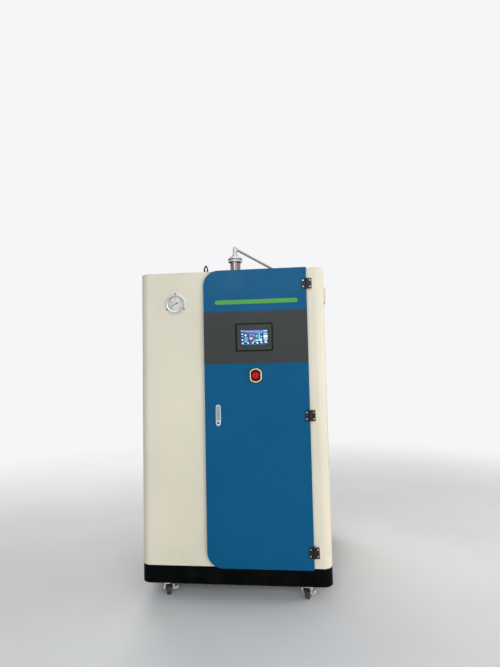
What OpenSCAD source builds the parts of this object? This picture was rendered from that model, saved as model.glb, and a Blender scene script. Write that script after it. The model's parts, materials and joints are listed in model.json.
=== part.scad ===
// Cabinet steam boiler on casters: a sheet-steel cabinet with a hinged service door,
// an insulated boiler vessel and its feed pump inside, and a flanged steam riser through the roof.
// Origin: on the floor, under the centre of the whole envelope. Front faces -Y, +X is right.

/* [Cabinet] */
// Width over the side panels
body_w = 1080; // [1070:10:1400]
// Depth over the front and rear panels
body_d = 1150; // [1130:10:1500]
// Height of the panelled body above the plinth
body_h = 1670; // [1660:10:2000]
// Radius of the upright corners
corner_r = 55; // [20:1:66]
// Thickness of the sheet-steel panels
sheet = 2.5; // [1.5:0.1:4]
// Width of each side panel's return across the back
rear_return = 90; // [80:5:100]
// Depth of the roof pan's down-turned lip
roof_lip = 20; // [10:1:30]

/* [Plinth] */
// Height of the black plinth
plinth_h = 98; // [60:1:150]
// Thickness of the plinth's plates
plinth_t = 4; // [3:0.5:8]
// Width of the plinth's bottom flange
plinth_flange = 45; // [30:1:80]
// Size of each caster pad along X
pad_w = 210; // [190:1:260]
// Size of each caster pad along Y
pad_d = 125; // [120:1:160]

/* [Door] */
// Width of the service door
door_w = 592; // [560:1:596]
// Distance from the left side of the cabinet to the door's left edge
door_inset = 388; // [360:1:392]
// Thickness of the door pan
door_t = 22; // [18:1:40]
// Radius of the door's left-hand corners
door_r = 88; // [70:1:120]
// Gap behind the door for its seal
seal_gap = 3; // [2:0.5:6]
// How far the door laps over the frame opening
door_lap = 25; // [18:1:30]
// Width of the return lip round the back of the door pan
door_lip = 55; // [50:1:65]
// Width of the frame's bars around the opening
frame_bar = 30; // [24:1:40]
// Depth of the frame's bars
frame_d = 25; // [15:1:32]

/* [Door trim] */
// Height of the grey control band
band_h = 297; // [250:1:320]
// Distance from the door's top down to the band's bottom
band_drop = 539; // [530:1:555]
// Thickness of the band and of the raised stripe
trim_t = 1.5; // [1:0.1:3]
// Length of the raised stripe
stripe_w = 475; // [300:1:500]
// Height of the raised stripe
stripe_h = 25; // [15:1:40]
// Distance from the door's top down to the stripe's centre
stripe_drop = 187; // [170:1:195]
// Distance from the door's left edge to the stripe's centre
stripe_x = 304; // [290:1:310]

/* [Door stiffeners] */
// Height of the lower stiffener above the door's foot
low_rib_z = 417.5; // [300:0.5:520]
// Distance from the door's top down to the upper stiffener
high_rib_drop = 701.4; // [680:0.1:730]

/* [Control screen] */
// Width of the screen's bezel
bezel_w = 213; // [206:1:230]
// Height of the screen's bezel
bezel_h = 159; // [150:1:180]
// Width of the visible screen
screen_w = 158; // [120:1:165]
// Height of the visible screen
screen_h = 86; // [70:1:95]
// How far the bezel stands off the band
bezel_t = 6; // [4:0.5:10]
// Width of the screen's housing behind the door
housing_w = 190; // [180:1:200]
// Height of the screen's housing behind the door
housing_h = 138; // [130:1:144]
// Depth of the screen's housing behind the door
housing_d = 36; // [25:1:60]
// Distance from the door's left edge to the screen's centre
screen_x = 290; // [250:1:330]
// Distance from the door's top down to the screen's centre
screen_drop = 391; // [370:1:420]

/* [Stop button] */
// Height of the yellow guard
guard_h = 78; // [74:1:90]
// Width of the yellow guard
guard_w = 66; // [62:1:80]
// How far the guard stands off the door
guard_t = 26; // [20:1:26]
// Width of the guard's rim
guard_rim = 6; // [5:1:8]
// Diameter of the red mushroom head
stop_d = 40; // [30:1:44]
// How far the mushroom head stands off the door
stop_reach = 44; // [44:1:60]
// Diameter of the button's barrel through the door
barrel_d = 22; // [20:0.5:24]
// Distance from the door's left edge to the button
stop_x = 296; // [250:1:330]
// Distance from the door's top down to the button
stop_drop = 607; // [600:1:630]

/* [Lock] */
// Width of the chrome lock plate
lock_w = 33; // [30:1:40]
// Height of the chrome lock plate
lock_h = 120; // [116:1:150]
// How far the lock plate stands off the door
lock_t = 7; // [6:0.5:9]
// Width of the lock's body in the door
lock_body_w = 22; // [20:1:26]
// Depth of the lock's body behind the door's face
lock_body_d = 20; // [19:0.5:24]
// Distance from the door's left edge to the lock
lock_x = 76.5; // [72:0.5:84]
// Distance from the door's top down to the lock's centre
lock_drop = 829; // [790:1:970]

/* [Hinges] */
// Height of each hinge
hinge_h = 60; // [45:1:80]
// Width over both leaves
hinge_w = 57; // [50:1:74]
// Thickness of a leaf
leaf_t = 4; // [3:0.5:6]
// Diameter of the knuckles
knuckle_d = 12; // [10:0.5:14]
// Diameter of the pin
pin_d = 6; // [5:0.5:7]
// Running clearance round every pin
pin_clear = 0.05; // [0.02:0.01:0.1]
// Distance from each end of the door to the centre of the nearest hinge
hinge_end = 95; // [55:1:235]

/* [Pressure gauge] */
// Diameter of the gauge's case
gauge_d = 100; // [90:1:104]
// Diameter of the gauge's mounting flange
gauge_flange_d = 132; // [126:1:150]
// Diameter of the circle of flange screws
gauge_screw_pcd = 118; // [114:1:120]
// Depth of the case behind the panel
gauge_depth = 45; // [35:1:60]
// Distance from the left side of the cabinet to the gauge
gauge_x = 217; // [185:1:245]
// Distance from the roof down to the gauge's centre
gauge_drop = 183; // [170:1:270]
// Direction of the needle, clockwise from straight up
needle_turn = 243; // [225:1:360]

/* [Side vents] */
// Length of each side vent cover
vent_l = 260; // [150:1:400]
// Height of each side vent cover
vent_h = 102; // [90:1:130]
// How far each cover stands off the side
vent_reach = 33; // [24:1:50]
// Margin between a cover's edge and the air opening that it hides
vent_margin = 20; // [16:1:30]
// Distance from the front panel to the covers' centre
vent_y = 590; // [400:1:700]
// Distance from the roof down to the covers' centre
vent_drop = 92; // [80:1:170]

/* [Rear louvres] */
// Length of each louvre
louvre_l = 300; // [150:10:380]
// Height of each louvre
louvre_h = 18; // [14:1:24]
// How far a louvre stands out
louvre_reach = 10; // [6:1:14]
// Distance between neighbouring louvres
louvre_pitch = 36; // [30:1:50]
// Number of louvres in each bank
louvre_count = 6; // [3:1:10]
// Distance from each bank's centre to the cabinet's centre
louvre_x = 215; // [200:1:230]
// Distance from the roof down to the foot of the lowest louvre
louvre_drop = 430; // [380:10:660]

/* [Boiler vessel] */
// Diameter of the clad vessel
vessel_d = 700; // [690:1:710]
// Space between the vessel and the roof
vessel_gap = 230; // [220:10:360]
// Height of each coned end
vessel_dish = 88; // [70:1:100]
// Wall of the vessel with its cladding
vessel_wall = 8; // [5:0.5:12]
// Height of the vessel's underside above the plinth
leg_h = 110; // [80:1:120]
// Width of each leg
leg_w = 40; // [30:1:60]
// Width of the bands round the cladding
strap_w = 25; // [15:1:40]
// Diameter of the inspection cover on the vessel's front
cover_d = 170; // [140:1:200]
// Height of the inspection cover above the vessel's underside
cover_z = 480; // [400:10:600]
// Distance from the front panel to the vessel's centre
vessel_y = 665; // [660:1:680]
// Distance from the left side of the cabinet to the vessel's centre
vessel_inset = 483; // [475:1:495]

/* [Steam riser] */
// Diameter of the insulated neck through the roof
neck_d = 77; // [60:1:90]
// Height of the flange joint above the roof
joint_z = 213; // [150:1:220]
// Outer diameter of the flanges
flange_d = 105; // [104:1:115]
// Thickness of each flange
flange_t = 12; // [10:1:18]
// Diameter of the flange's bolt circle
flange_pcd = 75; // [74:1:80]
// Diameter of the flange's bolt holes
bolt_hole_d = 14; // [10:0.5:14]
// Diameter of the welded hub on the flange
hub_d = 45; // [38:1:47]
// Height of the welded hub
hub_h = 30; // [15:1:32]
// Outer diameter of the riser pipe
riser_d = 32; // [26:1:34]
// Inner diameter of the riser pipe
riser_bore = 22; // [15:0.5:24]
// Height of the elbow's centre above the flange joint
elbow_z = 84; // [82:1:110]
// Outer diameter of the sloping tube
tube_d = 17; // [12:0.5:19]
// Distance that the sloping tube runs to the right
tube_run_x = 437; // [380:1:450]
// Distance that the sloping tube runs to the back
tube_run_y = 110; // [60:1:160]
// Height above the roof at which the sloping tube turns down
tube_turn_z = 58; // [50:1:80]

/* [Steam outlet] */
// Distance from the right side of the cabinet to the outlet
outlet_inset = 130; // [120:1:139]
// Distance from the front panel to the outlet
outlet_y = 945; // [930:1:955]
// Height of the outlet's flange face above the roof
outlet_z = 105; // [90:1:140]
// Outer diameter of the outlet flange
outlet_flange_d = 115; // [112:1:130]
// Diameter of the outlet's bolt circle
outlet_pcd = 85; // [80:1:88]
// Outer diameter of the outlet pipe
outlet_pipe_d = 33.7; // [32:0.1:42]
// Bore of the outlet pipe
outlet_bore = 27.3; // [20:0.1:28]
// Depth below the roof at which the outlet pipe turns to the vessel
outlet_drop = 130; // [110:1:150]

/* [Feed water] */
// How far the rear pipes stand out
rear_reach = 60; // [40:1:100]
// Outer diameter of the water pipes
water_pipe_d = 26.9; // [24:0.1:34]
// Bore of the water pipes
water_bore = 21.7; // [14:0.1:22]
// Distance from the right side of the cabinet to the feed pump
pump_inset = 135; // [125:1:140]
// Distance from the front panel to the feed pump
pump_y = 415; // [405:1:430]
// Height of the feed pump
pump_h = 632; // [600:1:700]
// Diameter of the pump's casing and motor
pump_d = 120; // [110:1:124]
// Size of the pump's terminal box
pump_box = 68; // [50:1:70]
// Height of the pump's ports above the plinth
port_z = 75; // [70:1:90]
// Height of the feed pipe's upper run above the plinth
feed_z = 362; // [300:1:380]

/* [Casters] */
// Height of the casters from floor to plinth
caster_h = 100; // [98:1:120]
// Diameter of the wheels
wheel_d = 75; // [66:1:76]
// Width of the wheels
wheel_w = 24; // [20:1:28]
// Distance of each swivel axis from the nearest side of the cabinet
caster_inset = 143; // [120:1:155]
// Distance of each swivel axis from the nearest end of the cabinet
caster_y = 62; // [60:1:70]
// Distance from the swivel axis to the axle
trail = 24; // [20:1:28]
// Width over the fork
fork_w = 50; // [48:1:56]
// Thickness of the fork's sheet
fork_t = 3; // [2:0.5:3.5]
// Diameter of the axle
axle_d = 8; // [6:0.5:10]

/* [Hidden] */
$fn = 64;
eps = 0.01;
seat = 0.3;
door_gap = 1;

body_z = caster_h + plinth_h;
roof_z = body_z + body_h;
rear_open_w = body_w - 2 * rear_return;
caster_x = body_w / 2 - caster_inset;
outlet_x = body_w / 2 - outlet_inset;
pump_x = body_w / 2 - pump_inset;

// Heights above the plinth, measured down from the roof
band_z = body_h - band_drop;
stripe_z = body_h - stripe_drop;
screen_z = body_h - screen_drop;
stop_z = body_h - stop_drop;
lock_z = body_h - lock_drop;
gauge_z = body_h - gauge_drop;
vent_z = body_h - vent_drop;
louvre_z = body_h - louvre_drop;
hinge_pitch = body_h / 2 - hinge_end;

// Depth stations, from the front of the envelope to the back
total_d = stop_reach + door_t + seal_gap + body_d + rear_reach;
door_y = -total_d / 2 + stop_reach;
body_y = door_y + door_t + seal_gap;
back_y = body_y + body_d;
mid_y = (body_y + back_y) / 2;

// Width stations
door_l = -body_w / 2 + door_inset;
door_rt = door_l + door_w;
open_l = door_l + door_lap;
open_r = door_rt - door_lap;
frame_top = roof_z - sheet - roof_lip - seat;

// Hinge axis: in front of the door's face, just outside its right edge
axis_x = door_rt + door_gap;
axis_y = door_y - knuckle_d / 2;

// Vessel and its joints
vx = -body_w / 2 + vessel_inset;
vy = body_y + vessel_y;
vessel_z0 = body_z + leg_h;
vessel_h = body_h - leg_h - vessel_gap;
cone_r = vessel_d / 4;
gasket_t = 3;
face_t = 2;
face_d = flange_pcd - bolt_hole_d - 4;
joint_h = roof_z + joint_z;
elbow_h = joint_h + elbow_z;
nozzle_d = 34;
nozzle_flange_d = 90;
nozzle_flange_t = 12;

// Water and steam pipes inside
knee = 5;
feed_x = vx + vessel_d * 0.26;
feed_nozzle_y = vy - vessel_d / 2 + nozzle_flange_t;
steam_x = vx + vessel_d * 0.21;
steam_nozzle_top = vessel_z0 + vessel_h - 10;
blow_x = vx - vessel_d * 0.23;
blow_up = 42;
blow_z = vessel_z0 + blow_up;
blow_joint_y = vy + vessel_d / 2 - 20;

// Feed pump: its ports, foot, and the heights of its stages, motor and fan cowl
pump_port = 95;
pump_foot_w = pump_d + 30;
pump_foot_d = 2 * pump_port;
pump_foot_t = 14;
pump_face = body_y + pump_y - pump_port;
casing_z = port_z + nozzle_flange_d / 2 - 14;
stage_z = pump_h * 0.522;
motor_z = pump_h * 0.655;
cowl_z = pump_h * 0.933;
box_out = 18;
box_t = 40;
box_up = 56;

// Rising run of the feed pipe, in front of both the vessel and the pump's port, and its check valve
feed_clear = 30;
feed_leg = 35;
feed_front = min(vy - vessel_d / 2 - feed_clear, pump_face - feed_leg);
valve_up = 90;
valve_r = 24;
valve_l = 70;

// Ring bolt on the roof
eye_x = door_l - 12;
eye_back = 150;
eye_y = door_y + eye_back;
eye_r = 20;
eye_wire = 5;
eye_turn = 65;
eye_shank = 22;

// Pivot of the lock's handle
lock_bar = 8;
lock_bar_w = 14;
lock_pin_d = 4;
lock_slot_w = lock_bar_w + 4;
lock_slot_d = 13;
lock_pin_up = 42;
handle_l = 70;
cam_gap = 2;
cam_t = 4;
cam_w = 16;
cam_l = 48;
lock_pin_y = door_y - lock_t + lock_bar / 2;
lock_pin_z = body_z + lock_z + lock_pin_up;

// Sloping tube
tube_turn = atan2(tube_run_y, tube_run_x);
tube_flat = norm([tube_run_x, tube_run_y]);
tube_fall = elbow_h - roof_z - tube_turn_z;
tube_slope = atan2(tube_fall, tube_flat);
bend_r = 30;
bend_swell = 0.2;
bend_overlap = 1;
tube_tail = 60;
tube_start = 12;
elbow_r = 17;
elbow_leg = 28;

// Casters: heights, and the resting turn of each trail
race_z = caster_h - 10;
crown_z = wheel_d + 5;
swivel_gap = 0.3;
top_plate_t = 3;
top_plate_w = 92;
top_plate_d = 66;
king_d = 10;
king_head = 3;
pedal_x = -14;
pedal_z = wheel_d - 9;
pedal_pin_d = 5;
pedal_gap = 0.5;
pedal_t = 3;
pedal_l = 30;
pedal_w = 26;
pedal_out = 26;
front_left_turn = 108;
front_right_turn = 78;
rear_left_turn = 70;
rear_right_turn = 110;

// Rectangle with true round corners, centred
module round_rect(w, d, r) {
    square([w - 2 * r, d], center = true);
    square([w, d - 2 * r], center = true);
    for (x = [-1, 1], y = [-1, 1])
        translate([x * (w / 2 - r), y * (d / 2 - r)]) circle(r);
}

// Plan of the cabinet, drawn in by an inset
module plan(inset = 0) {
    translate([0, mid_y]) round_rect(body_w - 2 * inset, body_d - 2 * inset, corner_r - inset);
}

// Cylinder that runs along Y, from the front towards the back
module along_y(r, h) {
    rotate([-90, 0, 0]) cylinder(r = r, h = h);
}

// Shape drawn in X and Z, made solid from y to y + t
module facing(y, t) {
    translate([0, y + t, 0]) rotate([90, 0, 0]) linear_extrude(t) children();
}

// Profile drawn in Y and Z, centred on X and drawn out to a length
module across(l) {
    rotate([90, 0, 90]) translate([0, 0, -l / 2]) linear_extrude(l) children();
}

// Same route with both ends drawn out
function longer(p, e) = let (n = len(p) - 1) [for (i = [0 : n])
    i == 0 ? p[0] + e * (p[0] - p[1]) / norm(p[0] - p[1]) :
    i == n ? p[n] + e * (p[n] - p[n - 1]) / norm(p[n] - p[n - 1]) : p[i]];

// Straight lengths along a route with a round knee at each turn
module pipe_run(p, r, knee_r) {
    for (i = [0 : len(p) - 2]) {
        d = p[i + 1] - p[i];
        translate(p[i]) rotate([0, acos(d[2] / norm(d)), atan2(d[1], d[0])])
            cylinder(r = r, h = norm(d));
        if (i > 0) translate(p[i]) sphere(r = knee_r);
    }
}

// Bolt holes on a circle
module bolt_circle(pcd, d, h, count = 4) {
    for (i = [0 : count - 1])
        rotate((i + 0.5) * 360 / count) translate([pcd / 2, 0, -1])
            cylinder(r = d / 2, h = h + 2);
}

// Place of one caster pad
module at_pad(x, y) {
    translate([x * caster_x, mid_y + y * (body_d / 2 - caster_y), 0]) children();
}

// Black base: a rounded skirt with a top plate, a bottom flange and four caster pads
module plinth() {
    color("#101416") {
        translate([0, 0, caster_h]) linear_extrude(plinth_h) difference() {
            plan();
            plan(plinth_t);
        }
        translate([0, 0, body_z - plinth_t]) linear_extrude(plinth_t) plan();
        translate([0, 0, caster_h]) linear_extrude(plinth_t) difference() {
            plan();
            plan(plinth_flange);
        }
        translate([0, 0, caster_h]) linear_extrude(plinth_t) intersection() {
            plan();
            for (x = [-1, 1], y = [-1, 1])
                at_pad(x, y) square([pad_w, pad_d], center = true);
        }
    }
}

// One wrapped side panel in plan: front face, corners, side and rear return
module wrap_plan(front_edge, side) {
    intersection() {
        difference() {
            plan();
            plan(sheet);
        }
        union() {
            translate([side < 0 ? -body_w / 2 : front_edge, body_y])
                square([body_w / 2 - side * front_edge, body_d / 2]);
            translate([side < 0 ? -body_w / 2 : rear_open_w / 2, mid_y - eps])
                square([(body_w - rear_open_w) / 2, body_d / 2 + eps]);
        }
    }
}

// Panel with the return flange that the door frame is fixed to
module wrap_panel(front_edge, side) {
    translate([0, 0, body_z]) linear_extrude(body_h - sheet) wrap_plan(front_edge, side);
    translate([side < 0 ? front_edge - sheet : front_edge, body_y + sheet - eps, body_z])
        cube([sheet, frame_d - sheet + eps, frame_top - body_z]);
}

// Air opening in a side panel, under its vent cover
module vent_hole(side) {
    translate([side * body_w / 2 - corner_r, body_y + vent_y - vent_l / 2 + vent_margin,
        body_z + vent_z - vent_h / 2 + vent_margin])
        cube([2 * corner_r, vent_l - 2 * vent_margin, vent_h - 2 * vent_margin]);
}

module left_panel() {
    color("#e2dfcf") difference() {
        wrap_panel(open_l, -1);
        translate([-body_w / 2 + gauge_x, body_y - 1, body_z + gauge_z])
            along_y(gauge_d / 2 + 1, sheet + 2);
        vent_hole(-1);
    }
}

module right_panel() {
    color("#e2dfcf") difference() {
        wrap_panel(open_r, 1);
        vent_hole(1);
    }
}

// Places of the rear louvres, on the panel's outer face
module at_louvres() {
    for (x = [-1, 1], i = [0 : louvre_count - 1])
        translate([x * louvre_x, back_y, body_z + louvre_z + i * louvre_pitch]) children();
}

// Rear panel with two banks of pressed louvres and holes for the water pipes
module rear_panel() {
    color("#d9d6c6") difference() {
        union() {
            translate([-rear_open_w / 2 + seat, back_y - sheet, body_z])
                cube([rear_open_w - 2 * seat, sheet, body_h - sheet]);
            at_louvres() across(louvre_l)
                polygon([[-eps, louvre_h], [louvre_reach, louvre_h / 3], [louvre_reach, 0], [-eps, 0]]);
        }
        at_louvres() across(louvre_l - 2 * sheet)
            polygon([[-sheet - 1, louvre_h - 2 * sheet], [0, louvre_h - 2 * sheet],
                [louvre_reach - sheet, louvre_h / 3 - sheet], [louvre_reach - sheet, -1], [0, -1],
                [0, 2 * sheet - 4], [-sheet - 1, 2 * sheet - 4]]);
        for (p = [[pump_x, body_z + port_z], [blow_x, blow_z]])
            translate([p[0], back_y - sheet - 1, p[1]]) along_y(water_pipe_d / 2 + 2, sheet + 2);
    }
}

// Flat roof with a lip inside the panels and holes for what passes through
module roof() {
    color("#dcd9ca") difference() {
        union() {
            translate([0, 0, roof_z - sheet]) linear_extrude(sheet) plan();
            translate([0, 0, roof_z - sheet - roof_lip]) linear_extrude(roof_lip + eps)
                difference() {
                    plan(sheet + seat);
                    plan(2 * sheet + seat);
                }
        }
        translate([vx, vy, roof_z - sheet - 1]) cylinder(r = neck_d / 2 + 3, h = sheet + 2);
        translate([vx + tube_run_x, vy + tube_run_y, roof_z - sheet - 1])
            cylinder(r = tube_d / 2 + 2, h = sheet + 2);
        translate([outlet_x, body_y + outlet_y, roof_z - sheet - 1])
            cylinder(r = outlet_pipe_d / 2 + 2, h = sheet + 2);
    }
}

// Rectangular frame round the door opening, seen in X and Z
module frame_ring(inset, bar) {
    difference() {
        translate([open_l + inset, body_z + inset])
            square([open_r - open_l - 2 * inset, frame_top - body_z - 2 * inset]);
        translate([open_l + inset + bar, body_z + inset + bar])
            square([open_r - open_l - 2 * (inset + bar), frame_top - body_z - 2 * (inset + bar)]);
    }
}

module door_frame() {
    color("#d9d6c6") facing(body_y, frame_d) frame_ring(0, frame_bar);
}

module door_seal() {
    color("#202020") facing(body_y - seal_gap + seat, seal_gap - seat) frame_ring(6, 14);
}

// Pressed cover over a side air opening, open underneath
module vent_cover(side) {
    slope = vent_reach / 3;
    translate([side * body_w / 2, body_y + vent_y, body_z + vent_z])
        mirror([side < 0 ? 1 : 0, 0, 0]) difference() {
            translate([0, vent_l / 2, 0]) rotate([90, 0, 0]) linear_extrude(vent_l)
                polygon([[0, vent_h / 2], [vent_reach - slope, vent_h / 2],
                    [vent_reach, vent_h / 2 - slope], [vent_reach, -vent_h / 2], [0, -vent_h / 2]]);
            translate([0, vent_l / 2 - sheet, 0]) rotate([90, 0, 0])
                linear_extrude(vent_l - 2 * sheet)
                    polygon([[-1, vent_h / 2 - sheet], [vent_reach - slope - sheet, vent_h / 2 - sheet],
                        [vent_reach - sheet, vent_h / 2 - slope - sheet],
                        [vent_reach - sheet, -vent_h / 2 - 1], [-1, -vent_h / 2 - 1]]);
        }
}

module vent_covers() {
    color("#e2dfcf") {
        vent_cover(-1);
        vent_cover(1);
    }
}

// Half outline of the vessel, drawn in by an inset
module vessel_half(inset = 0) {
    polygon([[0, inset], [cone_r, inset], [vessel_d / 2 - inset, vessel_dish],
        [vessel_d / 2 - inset, vessel_h - vessel_dish], [cone_r, vessel_h - inset], [0, vessel_h - inset]]);
}

// Pipe nozzle of a given length with a flange at its end, standing up
module nozzle(l) {
    cylinder(r = nozzle_d / 2, h = l);
    translate([0, 0, l - nozzle_flange_t])
        cylinder(r = nozzle_flange_d / 2, h = nozzle_flange_t);
}

// Clad vessel with coned ends, bands, nozzles, an inspection cover and three legs
module vessel() {
    inner = vessel_d / 2 - vessel_wall;
    color("#c9ccce") {
        difference() {
            union() {
                translate([vx, vy, vessel_z0]) {
                    rotate_extrude() vessel_half();
                    for (z = [0.16, 0.5, 0.84])
                        translate([0, 0, vessel_h * z - strap_w / 2])
                            cylinder(r = vessel_d / 2 + 1.5, h = strap_w);
                    translate([0, -vessel_d / 2 - 28, cover_z]) along_y(cover_d / 2, 14);
                    translate([0, -vessel_d / 2 - 14.5, cover_z]) along_y(cover_d / 2, 12);
                    translate([0, -vessel_d / 2 - 4, cover_z]) along_y(cover_d / 2 - 24, 40);
                }
                translate([feed_x, vy - vessel_d / 4, body_z + feed_z]) rotate([90, 0, 0])
                    nozzle(vy - vessel_d / 4 - feed_nozzle_y);
                translate([steam_x, body_y + outlet_y, vessel_z0 + vessel_h - vessel_dish])
                    nozzle(vessel_dish - 10);
                translate([blow_x, vy + vessel_d / 4, blow_z]) rotate([-90, 0, 0])
                    nozzle(blow_joint_y - vy - vessel_d / 4);
            }
            translate([vx, vy, vessel_z0]) rotate_extrude() vessel_half(vessel_wall);
            translate([vx, vy, vessel_z0 + vessel_h / 2]) cylinder(r = riser_bore / 2, h = vessel_h);
        }
        for (a = [30, 150, 270])
            translate([vx, vy, body_z]) rotate(a) translate([inner - leg_w - 10, -leg_w / 2, 0])
                cube([leg_w, leg_w, leg_h + vessel_dish * 0.8]);
    }
}

// Vertical feed pump: foot, port casing, stages, coupling, motor and fan cowl in one revolve
module feed_pump() {
    r = pump_d / 2;
    color("#6b7278") translate([pump_x, body_y + pump_y, body_z]) {
        linear_extrude(pump_foot_t) round_rect(pump_foot_w, pump_foot_d, 12);
        rotate_extrude() polygon([[0, pump_foot_t - eps], [r, pump_foot_t - eps], [r, casing_z],
            [r - 8, casing_z + 6], [r - 8, stage_z], [r + 2, stage_z + 2], [r + 2, stage_z + 22],
            [r - 20, stage_z + 26], [r - 20, motor_z - 4], [r + 6, motor_z], [r + 6, motor_z + 10],
            [r, motor_z + 12], [r, cowl_z], [r + 3, cowl_z + 2], [r + 3, pump_h - 10],
            [r - 4, pump_h], [0, pump_h]]);
        translate([0, -pump_port, port_z]) along_y(nozzle_d / 2, 2 * pump_port);
        for (s = [-1, 1])
            translate([0, s * (pump_port - nozzle_flange_t / 2) - nozzle_flange_t / 2, port_z])
                along_y(nozzle_flange_d / 2, nozzle_flange_t);
        translate([-r - box_out, -pump_box / 2, motor_z + box_up]) cube([box_t, pump_box, pump_box]);
    }
}

// Pipe from the pump to the vessel, with a flange at both ends and a check valve
module feed_pipe() {
    route = [[pump_x, pump_face, body_z + port_z], [pump_x, feed_front, body_z + port_z],
        [pump_x, feed_front, body_z + feed_z], [feed_x, feed_front, body_z + feed_z],
        [feed_x, feed_nozzle_y, body_z + feed_z]];
    color("#9fa3a5") difference() {
        union() {
            pipe_run(route, water_pipe_d / 2, water_pipe_d / 2 + knee);
            translate([pump_x, pump_face - nozzle_flange_t, body_z + port_z])
                along_y(nozzle_flange_d / 2, nozzle_flange_t);
            translate([feed_x, feed_nozzle_y - nozzle_flange_t, body_z + feed_z])
                along_y(nozzle_flange_d / 2, nozzle_flange_t);
            translate([pump_x, feed_front, body_z + port_z + valve_up]) cylinder(r = valve_r, h = valve_l);
        }
        pipe_run(longer(route, 1), water_bore / 2, water_bore / 2);
    }
}

// Pipes through the rear panel: feed water to the pump, and blowdown from the vessel
module water_pipes() {
    color("#b9b7b0") for (p = [[pump_x, body_y + pump_y + pump_port, body_z + port_z],
        [blow_x, blow_joint_y, blow_z]])
        difference() {
            union() {
                translate(p) along_y(water_pipe_d / 2, back_y + rear_reach - p[1]);
                translate(p) along_y(nozzle_flange_d / 2, nozzle_flange_t);
                translate([p[0], back_y, p[2]]) along_y(water_pipe_d / 2 + 8, 5);
            }
            translate([p[0], p[1] - 1, p[2]]) along_y(water_bore / 2, back_y + rear_reach - p[1] + 2);
        }
}

// Insulated neck from the vessel through the roof, ending in a flange
module steam_nozzle() {
    face = joint_h - gasket_t / 2;
    bottom = vessel_z0 + vessel_h;
    color("#8d8784") translate([vx, vy, bottom]) difference() {
        union() {
            cylinder(r = neck_d / 2, h = face - face_t - flange_t - bottom);
            translate([0, 0, face - face_t - flange_t - bottom - eps])
                cylinder(r = flange_d / 2, h = flange_t + eps);
            translate([0, 0, face - face_t - bottom - eps]) cylinder(r = face_d / 2, h = face_t + eps);
        }
        translate([0, 0, -1]) cylinder(r = riser_bore / 2, h = face - bottom + 2);
        translate([0, 0, face - face_t - flange_t - bottom]) bolt_circle(flange_pcd, bolt_hole_d, flange_t);
    }
}

module flange_gasket() {
    color("#3a3632") translate([vx, vy, joint_h - gasket_t / 2]) difference() {
        cylinder(r = face_d / 2, h = gasket_t);
        translate([0, 0, -1]) cylinder(r = riser_bore / 2, h = gasket_t + 2);
    }
}

// Flange with a welded hub and the riser pipe standing on it
module riser() {
    face = joint_h + gasket_t / 2;
    plate_top = face_t + flange_t;
    color("#d6d5cf") translate([vx, vy, face]) difference() {
        rotate_extrude() polygon([[0, 0], [face_d / 2, 0], [face_d / 2, face_t], [flange_d / 2, face_t],
            [flange_d / 2, plate_top], [hub_d / 2 + 1.5, plate_top], [hub_d / 2, plate_top + 3],
            [hub_d / 2 - 1, plate_top + hub_h - 4], [hub_d / 2 - 4, plate_top + hub_h],
            [riser_d / 2, plate_top + hub_h], [riser_d / 2, elbow_z - gasket_t / 2 - elbow_leg],
            [0, elbow_z - gasket_t / 2 - elbow_leg]]);
        translate([0, 0, -1]) cylinder(r = riser_bore / 2, h = elbow_z);
        translate([0, 0, face_t]) bolt_circle(flange_pcd, bolt_hole_d, flange_t);
    }
}

module pipe_elbow() {
    color("#dedcd4") translate([vx, vy, elbow_h]) rotate(tube_turn) difference() {
        union() {
            translate([0, 0, -elbow_leg]) cylinder(r = elbow_r, h = elbow_leg);
            sphere(r = elbow_r);
            rotate([0, 90 + tube_slope, 0]) cylinder(r = elbow_r - 3, h = 2 * tube_start);
        }
        translate([0, 0, -elbow_leg - 1]) cylinder(r = riser_bore / 2, h = elbow_leg + 1);
        rotate([0, 90 + tube_slope, 0]) cylinder(r = tube_d / 2, h = 2 * tube_start + 1);
    }
}

// Sloping tube with a swept bend down to the roof
module vent_tube() {
    turn = 90 - tube_slope;
    tangent = bend_r * tan(turn / 2);
    run = norm([tube_flat, tube_fall]);
    color("#c9cac6") translate([vx, vy, elbow_h]) rotate(tube_turn) {
        rotate([0, 90 + tube_slope, 0]) translate([0, 0, tube_start])
            cylinder(r = tube_d / 2, h = run - tangent - tube_start + bend_overlap);
        translate([tube_flat - bend_r, 0, -tube_fall - tangent]) rotate([90, 0, 0])
            rotate_extrude(angle = turn) translate([bend_r, 0]) circle(tube_d / 2 + bend_swell);
        translate([tube_flat, 0, -tube_fall - tube_turn_z - tube_tail])
            cylinder(r = tube_d / 2, h = tube_turn_z + tube_tail - tangent + bend_overlap);
    }
}

// Collars that close the roof round the neck and the tube
module roof_collar(d) {
    rotate_extrude() polygon([[d / 2 + 0.1, 0], [d / 2 + 12, 0], [d / 2 + 12, 2], [d / 2 + 4, 9],
        [d / 2 + 0.1, 9]]);
}

module roof_collars() {
    color("#2b2b2b") {
        translate([vx, vy, roof_z]) roof_collar(neck_d);
        translate([vx + tube_run_x, vy + tube_run_y, roof_z]) roof_collar(tube_d);
    }
}

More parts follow.
